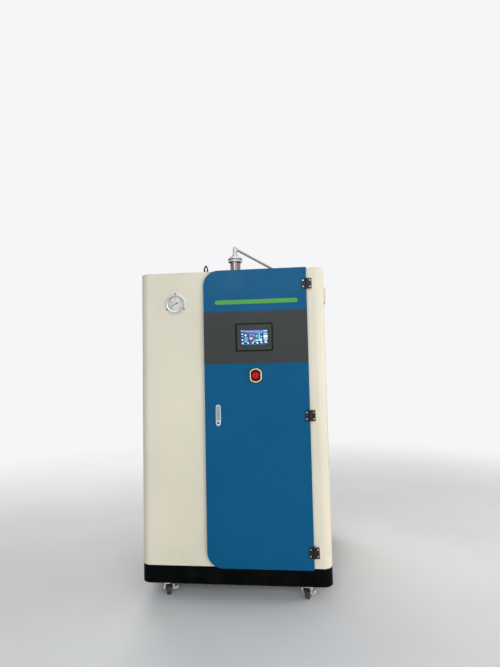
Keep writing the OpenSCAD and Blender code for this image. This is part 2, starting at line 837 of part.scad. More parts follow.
// Flanged steam outlet on the roof, with its pipe back to the vessel
module steam_outlet() {
    y = body_y + outlet_y;
    z = roof_z - outlet_drop;
    route = [[outlet_x, y, roof_z + outlet_z - eps], [outlet_x, y, z], [steam_x, y, z],
        [steam_x, y, steam_nozzle_top]];
    color("#b9b7b0") difference() {
        union() {
            pipe_run(route, outlet_pipe_d / 2, outlet_pipe_d / 2 + knee);
            translate([outlet_x, y, roof_z]) cylinder(r = outlet_pipe_d / 2 + 16, h = 5);
            translate([outlet_x, y, roof_z + outlet_z - flange_t])
                cylinder(r = outlet_flange_d / 2, h = flange_t);
            translate([steam_x, y, steam_nozzle_top])
                cylinder(r = nozzle_flange_d / 2, h = nozzle_flange_t);
        }
        pipe_run(longer(route, 1), outlet_bore / 2, outlet_bore / 2);
        translate([outlet_x, y, roof_z + outlet_z - flange_t])
            bolt_circle(outlet_pcd, bolt_hole_d, flange_t);
    }
}

// Ring bolt on the roof near the front
module lifting_eye() {
    color("#2a2a2a") translate([eye_x, eye_y, roof_z]) {
        rotate_extrude() polygon([[0, 0], [16, 0], [16, 6], [12, 9], [8, 11], [7, eye_shank],
            [0, eye_shank]]);
        translate([0, 0, eye_shank + eye_r - 1]) rotate(eye_turn) rotate([90, 0, 0]) rotate_extrude()
            translate([eye_r, 0]) circle(eye_wire);
    }
}

// Place of the gauge, with the local Z axis pointing out of the panel
module at_gauge() {
    translate([-body_w / 2 + gauge_x, body_y, body_z + gauge_z]) rotate([90, 0, 0]) children();
}

// Gauge case: a closed case behind the panel with a screw flange and a bezel ring in front
module gauge_case() {
    r = gauge_d / 2;
    color("#c8c9c8") at_gauge() difference() {
        union() {
            rotate_extrude() polygon([[0, -gauge_depth], [r - 4, -gauge_depth], [r, 4 - gauge_depth], [r, 0],
                [gauge_flange_d / 2, 0], [gauge_flange_d / 2, 2.5], [r + 2, 3.5], [r + 2, 9], [r + 1, 12],
                [r - 1, 13.5], [r - 4, 13], [r - 4, 9], [r - 2.5, 9], [r - 2.5, 1], [0, 1]]);
            translate([0, 0, -gauge_depth - 12]) cylinder(r = 12, h = 13, $fn = 6);
            translate([0, 0, -gauge_depth - 32]) cylinder(r = 8, h = 21);
        }
        for (a = [90, 210, 330])
            rotate(a) translate([gauge_screw_pcd / 2, 0, -1]) cylinder(r = 2.4, h = 6);
    }
}

module gauge_dial() {
    color("#e8e9e6") at_gauge() difference() {
        translate([0, 0, 1]) cylinder(r = gauge_d / 2 - 2.5 - 0.1, h = 1);
        cylinder(r = 3, h = 3);
    }
}

module gauge_needle() {
    color("#1a1a1a") at_gauge() {
        translate([0, 0, 1 + seat]) cylinder(r = 2.8, h = 3.7);
        rotate(-needle_turn) translate([0, 0, 3]) linear_extrude(1)
            polygon([[-2.5, -14], [2.5, -14], [2, 0], [0.6, 38], [-0.6, 38], [-2, 0]]);
    }
}

module gauge_glass() {
    color("#dfe8ea", 0.35) at_gauge() translate([0, 0, 7]) cylinder(r = gauge_d / 2 - 2.6, h = 2);
}

// Outline of the door: square on the hinge side, round on the free side
module door_outline(inset = 0) {
    r = door_r - inset;
    translate([door_l + inset, body_z + inset]) {
        translate([r, 0]) square([door_w - 2 * inset - r, body_h - 2 * inset]);
        translate([0, r]) square([r + eps, body_h - 2 * inset - 2 * r]);
        translate([r, r]) circle(r);
        translate([r, body_h - 2 * inset - r]) circle(r);
    }
}

// Hat-section stiffener welded inside the door, open towards the skin
module stiffener(z) {
    depth = door_t - 2 * sheet - 3;
    half = 22;
    flange = 11;
    translate([(door_l + door_rt) / 2, door_y + sheet, z]) across(door_w - 30) difference() {
        union() {
            translate([-eps, -half]) square([sheet, 2 * half]);
            translate([-eps, flange - half]) square([depth, 2 * (half - flange)]);
        }
        translate([-1, flange - half + sheet]) square([depth - sheet + 1, 2 * (half - flange - sheet)]);
    }
}

// Pressed door pan with a return lip, two stiffeners and cut-outs for the fittings
module door_skin() {
    color("#01618f") {
        difference() {
            facing(door_y, door_t) door_outline();
            facing(door_y + sheet, door_t - 2 * sheet) door_outline(sheet);
            facing(door_y + sheet, door_t) door_outline(door_lip);
            facing(door_y - 1, sheet + 2) translate([door_l + screen_x, body_z + screen_z])
                square([housing_w + 2, housing_h + 2], center = true);
            translate([door_l + stop_x, door_y - 1, body_z + stop_z])
                along_y(barrel_d / 2 + 0.3, sheet + 2);
            facing(door_y - 1, sheet + 2) translate([door_l + lock_x, body_z + lock_z])
                square([lock_body_w + 1, lock_h - 24], center = true);
        }
        for (z = [low_rib_z, body_h - high_rib_drop]) stiffener(body_z + z);
    }
}

module control_band() {
    color("#464846") facing(door_y - trim_t, trim_t) difference() {
        translate([door_l, body_z + band_z]) square([door_w, band_h]);
        translate([door_l + screen_x, body_z + screen_z])
            square([housing_w + 2, housing_h + 2], center = true);
    }
}

module door_stripe() {
    color("#589d58") facing(door_y - trim_t, trim_t)
        translate([door_l + stripe_x, body_z + stripe_z]) {
            square([stripe_w - stripe_h, stripe_h], center = true);
            for (s = [-1, 1]) translate([s * (stripe_w - stripe_h) / 2, 0]) circle(stripe_h / 2);
        }
}

// Screen bezel in two steps, with its housing behind the door
module screen_bezel() {
    front = door_y - trim_t - bezel_t;
    color("#26282a") translate([door_l + screen_x, 0, body_z + screen_z]) difference() {
        union() {
            facing(front + 2, bezel_t - 2) round_rect(bezel_w, bezel_h, 7);
            facing(front, 2 + eps) round_rect(bezel_w - 4, bezel_h - 4, 6);
            facing(door_y - trim_t - eps, trim_t + sheet + housing_d)
                square([housing_w, housing_h], center = true);
        }
        facing(front - 1, 3) square([screen_w, screen_h], center = true);
    }
}

module touch_screen() {
    color("#20303c") facing(door_y - trim_t - bezel_t + 0.8, 1.2)
        translate([door_l + screen_x, body_z + screen_z])
            square([screen_w - 0.4, screen_h - 0.4], center = true);
}

// Outline of the stop button's guard: a ring with flat sides
module guard_outline(rim) {
    intersection() {
        circle(guard_h / 2 - rim);
        square([guard_w - 2 * rim, guard_h], center = true);
    }
}

// Yellow guard with the barrel, lock nut and contact block behind the door
module stop_guard() {
    floor_t = 5;
    color("#f2c200") translate([door_l + stop_x, 0, body_z + stop_z]) difference() {
        union() {
            facing(door_y - guard_t + 2, guard_t - 2) guard_outline(0);
            facing(door_y - guard_t, 2 + eps) guard_outline(1.5);
            translate([0, door_y - eps, 0]) along_y(barrel_d / 2, sheet + 12);
            translate([0, door_y + sheet, 0]) rotate([-90, 0, 0])
                cylinder(r = barrel_d / 2 + 5, h = 6, $fn = 6);
            facing(door_y + sheet + 8, 30) square([30, 42], center = true);
        }
        facing(door_y - guard_t - 1, guard_t - floor_t + 1) guard_outline(guard_rim);
        translate([0, door_y - guard_t, 0]) along_y(8 + pin_clear, guard_t + sheet + 26);
    }
}

// Red mushroom head on its shaft
module stop_button() {
    r = stop_d / 2;
    color("#d3201c") translate([door_l + stop_x, door_y - stop_reach, body_z + stop_z]) {
        rotate([-90, 0, 0]) rotate_extrude() polygon([[0, 0], [r - 8, 0.3], [r - 4, 1.5], [r - 1, 4],
            [r, 7.5], [r, 12], [r - 2, 15], [12, 18], [0, 18]]);
        translate([0, 17, 0]) along_y(8, stop_reach);
    }
}

// Outline of the lock plate: round top and pointed foot
module lock_outline(inset = 0) {
    w = lock_w / 2 - inset;
    h = lock_h / 2 - inset;
    translate([0, h - w]) circle(w);
    translate([-w, -h + lock_w / 2]) square([2 * w, 2 * h - lock_w / 2 - w]);
    polygon([[-w, lock_w / 2 - h], [5 - w, lock_w / 4 - h], [-3, -h], [3, -h],
        [w - 5, lock_w / 4 - h], [w, lock_w / 2 - h]]);
}

// Chrome lock plate in two steps, with a slot for the handle, a key barrel and a body behind
module lock_plate() {
    step = lock_t / 2;
    color("#c9cdd0") translate([door_l + lock_x, 0, body_z + lock_z]) {
        difference() {
            union() {
                facing(door_y - step, step) lock_outline();
                facing(door_y - lock_t, step + eps) lock_outline(1.5);
                facing(door_y - eps, lock_body_d) square([lock_body_w, lock_h - 25], center = true);
            }
            facing(door_y - lock_t - 1, lock_slot_d) translate([0, 8])
                square([lock_slot_w, handle_l + lock_slot_w - 4], center = true);
            translate([0, door_y - lock_t - 1, -lock_pin_up]) along_y(7, 3);
        }
        translate([0, door_y - lock_t + 0.5, -lock_pin_up]) along_y(5.5, lock_t);
        translate([-lock_slot_w / 2 - eps, lock_pin_y, lock_pin_up]) rotate([0, 90, 0])
            cylinder(r = lock_pin_d / 2, h = lock_slot_w + 2 * eps);
    }
}

// Latch cam on its spindle, turned down so that the door can open
module lock_cam() {
    cam_y = body_y + frame_d + cam_gap;
    lock_back = door_y + lock_body_d;
    color("#b9bcbc") translate([door_l + lock_x, 0, lock_pin_z - 6]) {
        translate([0, lock_back - eps, 0]) along_y(6, cam_y - lock_back + eps);
        facing(cam_y, cam_t) {
            circle(10);
            translate([-cam_w / 2, -cam_l]) square([cam_w, cam_l]);
        }
        translate([0, cam_y + cam_t - eps, 0]) rotate([-90, 0, 0]) cylinder(r = 9, h = 6, $fn = 6);
    }
}

// Flush handle that swings out about the pin at its upper end
module lock_handle() {
    half = lock_bar / 2;
    color("#b8bcc0") translate([door_l + lock_x, lock_pin_y, lock_pin_z]) across(lock_bar_w)
        difference() {
            union() {
                circle(half + 0.5);
                polygon([[-half, 0], [-half, -handle_l * 0.8], [-half + 1.5, -handle_l],
                    [half - 3, -handle_l], [half, -handle_l * 0.6], [half, 0]]);
            }
            circle(lock_pin_d / 2 + pin_clear);
        }
}

// Places of the three hinges
module at_hinges() {
    for (i = [-1, 0, 1])
        translate([axis_x, axis_y, body_z + body_h / 2 + i * hinge_pitch]) children();
}

// Hinge leaf seen from the front, rounded on its outer corners; s is the side it lies on
module leaf(s) {
    inner = knuckle_d / 2 + 1;
    translate([s > 0 ? inner : -hinge_w / 2, -hinge_h / 2 + 4]) square([hinge_w / 2 - inner, hinge_h - 8]);
    translate([s > 0 ? inner : 4 - hinge_w / 2, -hinge_h / 2]) square([hinge_w / 2 - inner - 4, hinge_h]);
    for (z = [-1, 1]) translate([s * (hinge_w / 2 - 4), z * (hinge_h / 2 - 4)]) circle(4);
}

module hinge_door_leaves() {
    third = hinge_h / 3 - 0.4;
    color("#191919") at_hinges() difference() {
        union() {
            facing(knuckle_d / 2 - leaf_t, leaf_t) leaf(-1);
            translate([-knuckle_d / 2 - 2, knuckle_d / 2 - leaf_t, -third / 2])
                cube([knuckle_d / 2 + 2, leaf_t, third]);
            translate([0, 0, -third / 2]) cylinder(r = knuckle_d / 2, h = third);
        }
        translate([0, 0, -hinge_h]) cylinder(r = pin_d / 2 + pin_clear, h = 2 * hinge_h);
    }
}

// Frame leaves on their packing blocks, with two knuckles and the pin
module hinge_frame_leaves() {
    third = hinge_h / 3;
    color("#191919") at_hinges() {
        facing(knuckle_d / 2 - leaf_t, leaf_t) leaf(1);
        translate([knuckle_d / 2 + 2, knuckle_d / 2 - eps, 1 - hinge_h / 2])
            cube([hinge_w / 2 - knuckle_d / 2 - 3, door_t + seal_gap + eps, hinge_h - 2]);
        for (s = [-1, 1]) translate([0, 0, s * third - third / 2]) {
            translate([0, knuckle_d / 2 - leaf_t, 0]) cube([knuckle_d / 2 + 2, leaf_t, third]);
            cylinder(r = knuckle_d / 2, h = third);
        }
        translate([0, 0, -hinge_h / 2]) cylinder(r = pin_d / 2, h = hinge_h);
    }
}

// Frame of one caster: turned about its swivel axis
module at_caster(x, y, turn) {
    at_pad(x, y) rotate(turn) children();
}

// Top plates with the upper ball race and the kingpin, whose head holds the fork
module caster_plates() {
    color("#b9bcbc") for (x = [-1, 1], y = [-1, 1]) at_caster(x, y, 0) {
        translate([0, 0, caster_h - top_plate_t]) linear_extrude(top_plate_t)
            round_rect(top_plate_w, top_plate_d, 6);
        translate([0, 0, race_z]) rotate_extrude()
            polygon([[0, 0], [21, 0], [24, 3], [24, caster_h - race_z - top_plate_t + eps],
                [0, caster_h - race_z - top_plate_t + eps]]);
        translate([0, 0, crown_z - 4]) cylinder(r = king_d / 2, h = caster_h - crown_z + 3);
        translate([0, 0, crown_z - 4])
            cylinder(r = king_d / 2 + king_head, h = 4 - swivel_gap);
    }
}

// Side of the fork: a cheek that narrows down to the axle, with the pedal's bearing in front
module fork_cheek() {
    polygon([[pedal_x - 10, crown_z + fork_t], [pedal_x - 8, pedal_z - 1], [pedal_x + 2, pedal_z - 8],
        [trail - 16, wheel_d / 2 + 12], [trail - 12, wheel_d / 2], [trail + 12, wheel_d / 2],
        [trail + 11.5, wheel_d / 2 + 6], [trail + 4, crown_z + fork_t]]);
    translate([trail, wheel_d / 2]) circle(12);
    translate([pedal_x, pedal_z]) circle(8);
}

// Fork: crown with the lower ball race, and two cheeks that carry the axle and the brake's shaft
module fork() {
    color("#cfd1d0") {
        difference() {
            union() {
                translate([0, 0, crown_z]) rotate_extrude() polygon([[0, 0], [26, 0], [26, 3],
                    [22, race_z - swivel_gap - crown_z], [0, race_z - swivel_gap - crown_z]]);
                translate([pedal_x - 10, -fork_w / 2, crown_z]) cube([trail + 14 - pedal_x, fork_w, fork_t]);
            }
            translate([0, 0, crown_z - 1]) cylinder(r = king_d / 2 + pin_clear, h = 20);
        }
        for (s = [-1, 1]) translate([0, s * (fork_w / 2 - fork_t / 2), 0]) rotate([90, 0, 0])
            translate([0, 0, -fork_t / 2]) linear_extrude(fork_t) difference() {
                fork_cheek();
                translate([pedal_x, pedal_z]) circle(pedal_pin_d / 2 + pin_clear);
            }
        translate([trail, -fork_w / 2 - 3, wheel_d / 2]) along_y(axle_d / 2, fork_w + 6);
    }
}

// Wheel: tyre, dished web and hub in one revolve
module wheel() {
    r = wheel_d / 2;
    color("#33363a") translate([trail, -wheel_w / 2, wheel_d / 2]) rotate([-90, 0, 0]) difference() {
        rotate_extrude() polygon([[0, -8], [10, -8], [12, -6], [12, 4], [r - 10, 4], [r - 8, 0], [r - 2.5, 0],
            [r - 0.8, 1.2], [r, 3.5], [r, wheel_w - 3.5], [r - 0.8, wheel_w - 1.2], [r - 2.5, wheel_w],
            [r - 8, wheel_w], [r - 10, wheel_w - 4], [12, wheel_w - 4], [12, wheel_w + 6],
            [10, wheel_w + 8], [0, wheel_w + 8]]);
        translate([0, 0, -20]) cylinder(r = axle_d / 2 + pin_clear, h = wheel_w + 40);
    }
}

// Brake: a cam on its shaft between the cheeks, and outside one cheek a lever with a bent-out pedal
module pedal() {
    width = fork_w - 2 * fork_t - 6;
    outside = fork_w / 2 + pedal_gap;
    color("#d5d7d6") translate([pedal_x, 0, pedal_z]) {
        rotate([90, 0, 0]) translate([0, 0, -width / 2]) linear_extrude(width) {
            circle(5.5);
            translate([-2.5, -10]) square([5, 10]);
        }
        translate([0, -outside - pedal_t - 1, 0])
            along_y(pedal_pin_d / 2, 2 * outside + pedal_t + 2);
        translate([0, outside, 0]) along_y(4.5, 2.5);
        rotate([90, 0, 0]) translate([0, 0, outside]) linear_extrude(pedal_t) {
            circle(8);
            polygon([[0, 7], [-pedal_l, 0], [-pedal_l, -8], [pedal_w - pedal_l, -8], [7, 0]]);
        }
        translate([pedal_w / 2 - pedal_l, -outside, 0]) across(pedal_w)
            polygon([[-pedal_t / 2, -8], [-pedal_t / 2, pedal_t - 8], [pedal_t + 2 - pedal_out, pedal_t - 8],
                [pedal_t - pedal_out, pedal_t - 6], [pedal_t - pedal_out, 10], [-pedal_out, 10],
                [-pedal_out, -5], [3 - pedal_out, -8]]);
    }
}

plinth();
left_panel();
right_panel();
rear_panel();
roof();
door_frame();
door_seal();
vent_covers();
vessel();
feed_pump();
feed_pipe();
water_pipes();
steam_nozzle();
flange_gasket();
riser();
pipe_elbow();
vent_tube();
roof_collars();
steam_outlet();
lifting_eye();
gauge_case();
gauge_dial();
gauge_needle();
gauge_glass();
door_skin();
control_band();
door_stripe();
screen_bezel();
touch_screen();
stop_guard();
stop_button();
lock_plate();
lock_cam();
lock_handle();
hinge_door_leaves();
hinge_frame_leaves();
caster_plates();
at_caster(-1, -1, front_left_turn) fork();  // front_left_fork
at_caster(1, -1, front_right_turn) fork();  // front_right_fork
at_caster(-1, 1, rear_left_turn) fork();  // rear_left_fork
at_caster(1, 1, rear_right_turn) fork();  // rear_right_fork
at_caster(-1, -1, front_left_turn) wheel();  // front_left_wheel
at_caster(1, -1, front_right_turn) wheel();  // front_right_wheel
at_caster(-1, 1, rear_left_turn) wheel();  // rear_left_wheel
at_caster(1, 1, rear_right_turn) wheel();  // rear_right_wheel
at_caster(-1, -1, front_left_turn) pedal();  // front_left_pedal
at_caster(1, -1, front_right_turn) pedal();  // front_right_pedal
at_caster(-1, 1, rear_left_turn) pedal();  // rear_left_pedal
at_caster(1, 1, rear_right_turn) pedal();  // rear_right_pedal
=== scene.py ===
import json
import math
import random

import bmesh
import bpy
from mathutils import Matrix, Vector


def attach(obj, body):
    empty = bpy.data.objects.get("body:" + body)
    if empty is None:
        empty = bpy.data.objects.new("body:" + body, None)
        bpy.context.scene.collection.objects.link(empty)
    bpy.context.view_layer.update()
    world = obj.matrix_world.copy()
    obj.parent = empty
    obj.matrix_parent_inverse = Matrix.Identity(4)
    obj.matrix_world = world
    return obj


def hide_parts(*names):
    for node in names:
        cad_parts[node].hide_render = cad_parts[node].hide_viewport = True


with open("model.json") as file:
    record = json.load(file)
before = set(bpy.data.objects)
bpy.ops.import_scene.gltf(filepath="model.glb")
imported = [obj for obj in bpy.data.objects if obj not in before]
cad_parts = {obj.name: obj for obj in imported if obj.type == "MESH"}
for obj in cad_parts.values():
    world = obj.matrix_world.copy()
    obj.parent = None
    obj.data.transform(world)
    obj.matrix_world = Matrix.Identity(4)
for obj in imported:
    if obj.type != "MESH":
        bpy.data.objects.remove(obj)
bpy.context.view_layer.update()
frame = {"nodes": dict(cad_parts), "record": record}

MM = 0.001
random.seed(7)

# ---------------------------------------------------------------- camera

CAMERA_AT = Vector((0.391, -3.1888, 1.329))
CAMERA_YAW = 0.10616
CAMERA_PITCH = 0.06491
CAMERA_ROLL = 0.02161
FOCAL_PIXELS = 460
FRAME_PIXELS = 667
SENSOR = 36

camera_data = bpy.data.cameras.new("camera")
camera_data.sensor_width = SENSOR
camera_data.lens = FOCAL_PIXELS / FRAME_PIXELS * SENSOR
camera = bpy.data.objects.new("camera", camera_data)
bpy.context.scene.collection.objects.link(camera)
turn = (
    Matrix.Rotation(CAMERA_YAW, 4, "Z")
    @ Matrix.Rotation(CAMERA_PITCH, 4, "X")
    @ Matrix.Rotation(CAMERA_ROLL, 4, "Y")
)
camera.matrix_world = (
    Matrix.Translation(CAMERA_AT) @ turn @ Matrix.Rotation(math.radians(90), 4, "X")
)
bpy.context.scene.camera = camera
bpy.context.scene.view_settings.view_transform = "Standard"

# ---------------------------------------------------------------- materials

# Colour sockets of the Mix node
MIX_COLOR_A = 6
MIX_COLOR_B = 7
MIX_COLOR_OUT = 2


class Paint:
    """One node material, built step by step."""

    def __init__(self, name, rough=0.4, metal=0.0, specular=0.5):
        self.material = bpy.data.materials.new(name)
        self.material.use_nodes = True
        self.tree = self.material.node_tree
        self.tree.nodes.clear()
        self.shader = self.add("ShaderNodeBsdfPrincipled")
        out = self.add("ShaderNodeOutputMaterial")
        self.tree.links.new(self.shader.outputs[0], out.inputs[0])
        self.coord = self.add("ShaderNodeTexCoord").outputs["Object"]
        self.set("Roughness", rough)
        self.set("Metallic", metal)
        self.set("Specular IOR Level", specular)

    def add(self, kind, **props):
        node = self.tree.nodes.new(kind)
        for key, value in props.items():
            setattr(node, key, value)
        return node

    def put(self, socket, value):
        """Links a socket to another, or gives it a constant."""
        if isinstance(value, bpy.types.NodeSocket):
            self.tree.links.new(value, socket)
        elif isinstance(value, tuple) and len(value) == 3 and socket.type == "RGBA":
            socket.default_value = (*value, 1)
        else:
            socket.default_value = value

    def set(self, name, value):
        """Sets one input of the shader itself."""
        self.put(self.shader.inputs[name], value)

    def placed(self, stretch):
        """Object coordinates stretched along the axes."""
        node = self.add("ShaderNodeMapping")
        self.put(node.inputs["Vector"], self.coord)
        node.inputs["Scale"].default_value = stretch
        return node.outputs[0]

    def noise(self, scale, detail=3.0, rough=0.5, stretch=None):
        node = self.add("ShaderNodeTexNoise")
        self.put(node.inputs["Vector"], self.placed(stretch) if stretch else self.coord)
        node.inputs["Scale"].default_value = scale
        node.inputs["Detail"].default_value = detail
        node.inputs["Roughness"].default_value = rough
        return node.outputs[0]

    def part(self, axis):
        """One of the object coordinates: "X", "Y" or "Z"."""
        node = self.add("ShaderNodeSeparateXYZ")
        self.put(node.inputs[0], self.coord)
        return node.outputs[axis]

    def span(self, value, low, high, start=0.0, end=1.0):
        """Smooth step from start to end while the value goes from low to high."""
        node = self.add("ShaderNodeMapRange")
        node.interpolation_type = "SMOOTHSTEP"
        for i, item in enumerate((value, low, high, start, end)):
            self.put(node.inputs[i], item)
        return node.outputs[0]

    def math(self, kind, a, b=0.0):
        node = self.add("ShaderNodeMath", operation=kind)
        self.put(node.inputs[0], a)
        self.put(node.inputs[1], b)
        return node.outputs[0]

    def mix(self, factor, a, b):
        node = self.add("ShaderNodeMix", data_type="RGBA")
        self.put(node.inputs[0], factor)
        self.put(node.inputs[MIX_COLOR_A], a)
        self.put(node.inputs[MIX_COLOR_B], b)
        return node.outputs[MIX_COLOR_OUT]

    def bump(self, height, strength, distance, under=None):
        node = self.add("ShaderNodeBump")
        node.inputs["Strength"].default_value = strength
        node.inputs["Distance"].default_value = distance
        self.put(node.inputs["Height"], height)
        if under is not None:
            self.put(node.inputs["Normal"], under)
        return node.outputs[0]


def scaled(color, k):
    return tuple(min(1.0, c * k) for c in color)


def powder_coat(name, color, rough=0.36, specular=0.4, peel=0.12, dusty=None, dust=0.0):
    """Powder coat: fine orange peel, faint mottling, and dust that settles low down."""
    p = Paint(name, specular=specular)
    cloud = p.noise(1.7, 4)
    speck = p.noise(260, 2)
    tone = p.mix(p.span(cloud, 0.3, 0.7), scaled(color, 0.965), scaled(color, 1.035))
    tone = p.mix(p.span(speck, 0.62, 0.78, 0, 0.12), tone, scaled(color, 0.82))
    if dusty:
        low = p.span(p.part("Z"), 0.1, 0.62, 1.0, 0.0)
        patch = p.span(p.noise(9, 5, 0.6), 0.42, 0.7)
        tone = p.mix(p.math("MULTIPLY", p.math("MULTIPLY", low, patch), dust), tone, dusty)
    p.set("Base Color", tone)
    p.set("Roughness", p.span(p.noise(6, 4), 0.3, 0.7, rough - 0.04, rough + 0.06))
    wave = p.bump(p.noise(55, 2), 0.25, 0.0004)
    p.set("Normal", p.bump(p.noise(620, 2), peel, 0.0003, wave))
    return p.material


def brushed(name, color, along, rough=0.3, grain=900, stain=None, metal=1.0):
    """Metal with a fine grain: `along` is the axis that the grain runs along."""
    p = Paint(name, metal=metal)
    stretch = [1.0, 1.0, 1.0]
    stretch["XYZ".index(along)] = 0.02
    lines = p.noise(grain, 3, 0.6, tuple(stretch))
    cloud = p.noise(7, 4)
    tone = p.mix(p.span(cloud, 0.3, 0.7), scaled(color, 0.9), scaled(color, 1.06))
    tone = p.mix(p.span(lines, 0.35, 0.7, 0, 0.25), tone, scaled(color, 0.75))
    if stain:
        spots = p.span(p.noise(34, 5, 0.65), 0.54, 0.72, 0, 0.7)
        tone = p.mix(spots, tone, stain)
    p.set("Base Color", tone)
    p.set("Roughness", p.span(lines, 0.3, 0.7, rough - 0.06, rough + 0.1))
    p.set("Normal", p.bump(lines, 0.12, 0.0002))
    return p.material


def cast(name, color, rough=0.5, metal=0.0, grit=500, wear=None, specular=0.5):
    """Cast or moulded surface with a fine grit, and paler rubbed patches if wear is given."""
    p = Paint(name, metal=metal, specular=specular)
    grain = p.noise(grit, 3, 0.6)
    cloud = p.noise(21, 4)
    tone = p.mix(p.span(cloud, 0.3, 0.7), scaled(color, 0.86), scaled(color, 1.12))
    if wear:
        rubbed = p.span(p.noise(60, 5, 0.7), 0.6, 0.75, 0, 0.6)
        tone = p.mix(rubbed, tone, wear)
    p.set("Base Color", tone)
    p.set("Roughness", p.span(grain, 0.3, 0.7, rough - 0.07, rough + 0.08))
    p.set("Normal", p.bump(grain, 0.3, 0.0003))
    return p.material


def lit(name, color, glow, second=None):
    """Lit field of the display, whose colour fades a little across it."""
    p = Paint(name, rough=0.25)
    fade = p.span(p.noise(48, 1), 0.35, 0.65)
    tone = p.mix(fade, color, second or scaled(color, 0.75))
    p.set("Base Color", scaled(color, 0.3))
    p.set("Emission Color", tone)
    p.set("Emission Strength", glow)
    return p.material


CREAM = (0.735, 0.67, 0.52)
DUST = (0.33, 0.30, 0.24)

cream = powder_coat(
    "cream_powder_coat", CREAM, rough=0.38, specular=0.35, peel=0.1, dusty=DUST, dust=0.10
)
cream_back = powder_coat(
    "cream_powder_coat_rear", scaled(CREAM, 0.97), rough=0.42, specular=0.35, peel=0.14,
    dusty=DUST, dust=0.16
)
blue = powder_coat(
    "blue_powder_coat", (0.0, 0.088, 0.2), rough=0.34, specular=0.12, peel=0.12,
    dusty=(0.03, 0.12, 0.2), dust=0.06
)
black_coat = powder_coat(
    "black_powder_coat", (0.0012, 0.0015, 0.0015), rough=0.5, specular=0.035, peel=0.2,
    dusty=(0.03, 0.028, 0.025), dust=0.1
)
band_film = powder_coat(
    "band_grey_film", (0.037, 0.038, 0.0345), rough=0.42, specular=0.22, peel=0.06
)
green_film = powder_coat("green_film", (0.088, 0.335, 0.058), rough=0.4, specular=0.2, peel=0.06)
rubber = cast("seal_rubber", (0.014, 0.014, 0.014), rough=0.75, grit=300)
hinge_coat = cast(
    "hinge_black", (0.006, 0.006, 0.006), rough=0.42, grit=700, wear=(0.03, 0.03, 0.03),
    specular=0.35
)
zinc = brushed(
    "zinc_plate", (0.74, 0.75, 0.76), along="X", rough=0.26, grain=300, stain=(0.5, 0.5, 0.47)
)
zinc_dull = brushed(
    "zinc_plate_dull", (0.55, 0.55, 0.54), along="Z", rough=0.38, grain=300,
    stain=(0.3, 0.28, 0.25)
)
steel = brushed(
    "turned_steel", (0.56, 0.55, 0.52), along="X", rough=0.38, grain=500, stain=(0.32, 0.27, 0.2)
)
galvanized = brushed(
    "galvanized_steel", (0.7, 0.68, 0.64), along="X", rough=0.46, grain=400,
    stain=(0.5, 0.46, 0.4), metal=0.7
)
tube_steel = brushed(
    "tube_steel", (0.3, 0.3, 0.295), along="X", rough=0.4, grain=500, stain=(0.24, 0.23, 0.21)
)
satin = brushed("satin_stainless", (0.72, 0.73, 0.73), along="X", rough=0.22, grain=800)
gauge_plate = brushed(
    "gauge_flange_satin", (0.69, 0.655, 0.575), along="X", rough=0.5, grain=800, metal=0.5
)
gauge_rim = brushed(
    "gauge_bezel_rim", (0.72, 0.72, 0.7), along="Z", rough=0.3, grain=800, metal=0.85
)
# Dark copy of the bezel's metal for its walls: painted shade.
gauge_wall_painted_shade = brushed(
    "gauge_bezel_wall_painted_shade", (0.1, 0.1, 0.095), along="Z", rough=0.4, grain=800, metal=0.8
)
cladding = brushed("stainless_cladding", (0.68, 0.69, 0.7), along="Z", rough=0.3, grain=260)
# Steel whose reddish-brown tint, in its colour and stains, is a painted reflection.
neck_painted_reflection = brushed(
    "neck_steel_painted_reflection", (0.31, 0.25, 0.24), along="Z", rough=0.34, grain=300, stain=(0.14, 0.09, 0.08)
)
# Dark copy of the bolts' steel for the heads and studs under the flange joint: painted shade.
under_joint_painted_shade = cast("bolt_underside_painted_shade", (0.05, 0.045, 0.04), rough=0.5, metal=0.4, grit=400)
# Dark graphite gasket, also used as painted shade of the gap between the flanges.
gasket = cast("graphite_gasket_and_gap_shade", (0.03, 0.028, 0.026), rough=0.7)
chrome = brushed("satin_chrome", (0.8, 0.83, 0.87), along="Z", rough=0.16, grain=400)
lock_metal = brushed(
    "lock_chrome_plate", (0.84, 0.87, 0.92), along="Z", rough=0.26, grain=400, metal=0.65
)
caster_plate = brushed(
    "caster_zinc_plate", (0.86, 0.84, 0.77), along="X", rough=0.45, grain=300, metal=0.2
)
handle_metal = brushed("handle_metal", (0.5, 0.48, 0.43), along="Z", rough=0.36, grain=400)
plastic = cast("bezel_plastic", (0.003, 0.003, 0.0035), rough=0.55, grit=900, specular=0.15)
grey_plastic = cast(
    "bezel_inner_plastic", (0.043, 0.043, 0.038), rough=0.5, grit=900, specular=0.2
)
yellow = cast("guard_yellow", (0.86, 0.68, 0.25), rough=0.36, grit=500, specular=0.5)
# Dark red-brown for the guard's inside: painted shade of its well round the button.
guard_well_painted_shade = cast("guard_well_painted_shade", (0.1, 0.012, 0.006), rough=0.6, grit=500, specular=0.15)
red = cast("button_red", (0.48, 0.003, 0.024), rough=0.45, grit=500, specular=0.07)
red_print = cast("button_arrows", (0.62, 0.08, 0.08), rough=0.45, specular=0.2)
black_print = cast("black_print", (0.01, 0.01, 0.012), rough=0.5)
enamel = cast("dial_enamel", (0.76, 0.7, 0.61), rough=0.4, grit=200)
pump_paint = powder_coat(
    "pump_enamel", (0.1, 0.13, 0.17), rough=0.34, specular=0.5, peel=0.2, dusty=DUST, dust=0.2
)
pump_steel = brushed("pump_stainless", (0.6, 0.61, 0.62), along="Z", rough=0.3, grain=400)
tyre = cast("tyre_rubber", (0.03, 0.031, 0.034), rough=0.66, grit=400, wear=(0.1, 0.095, 0.085))
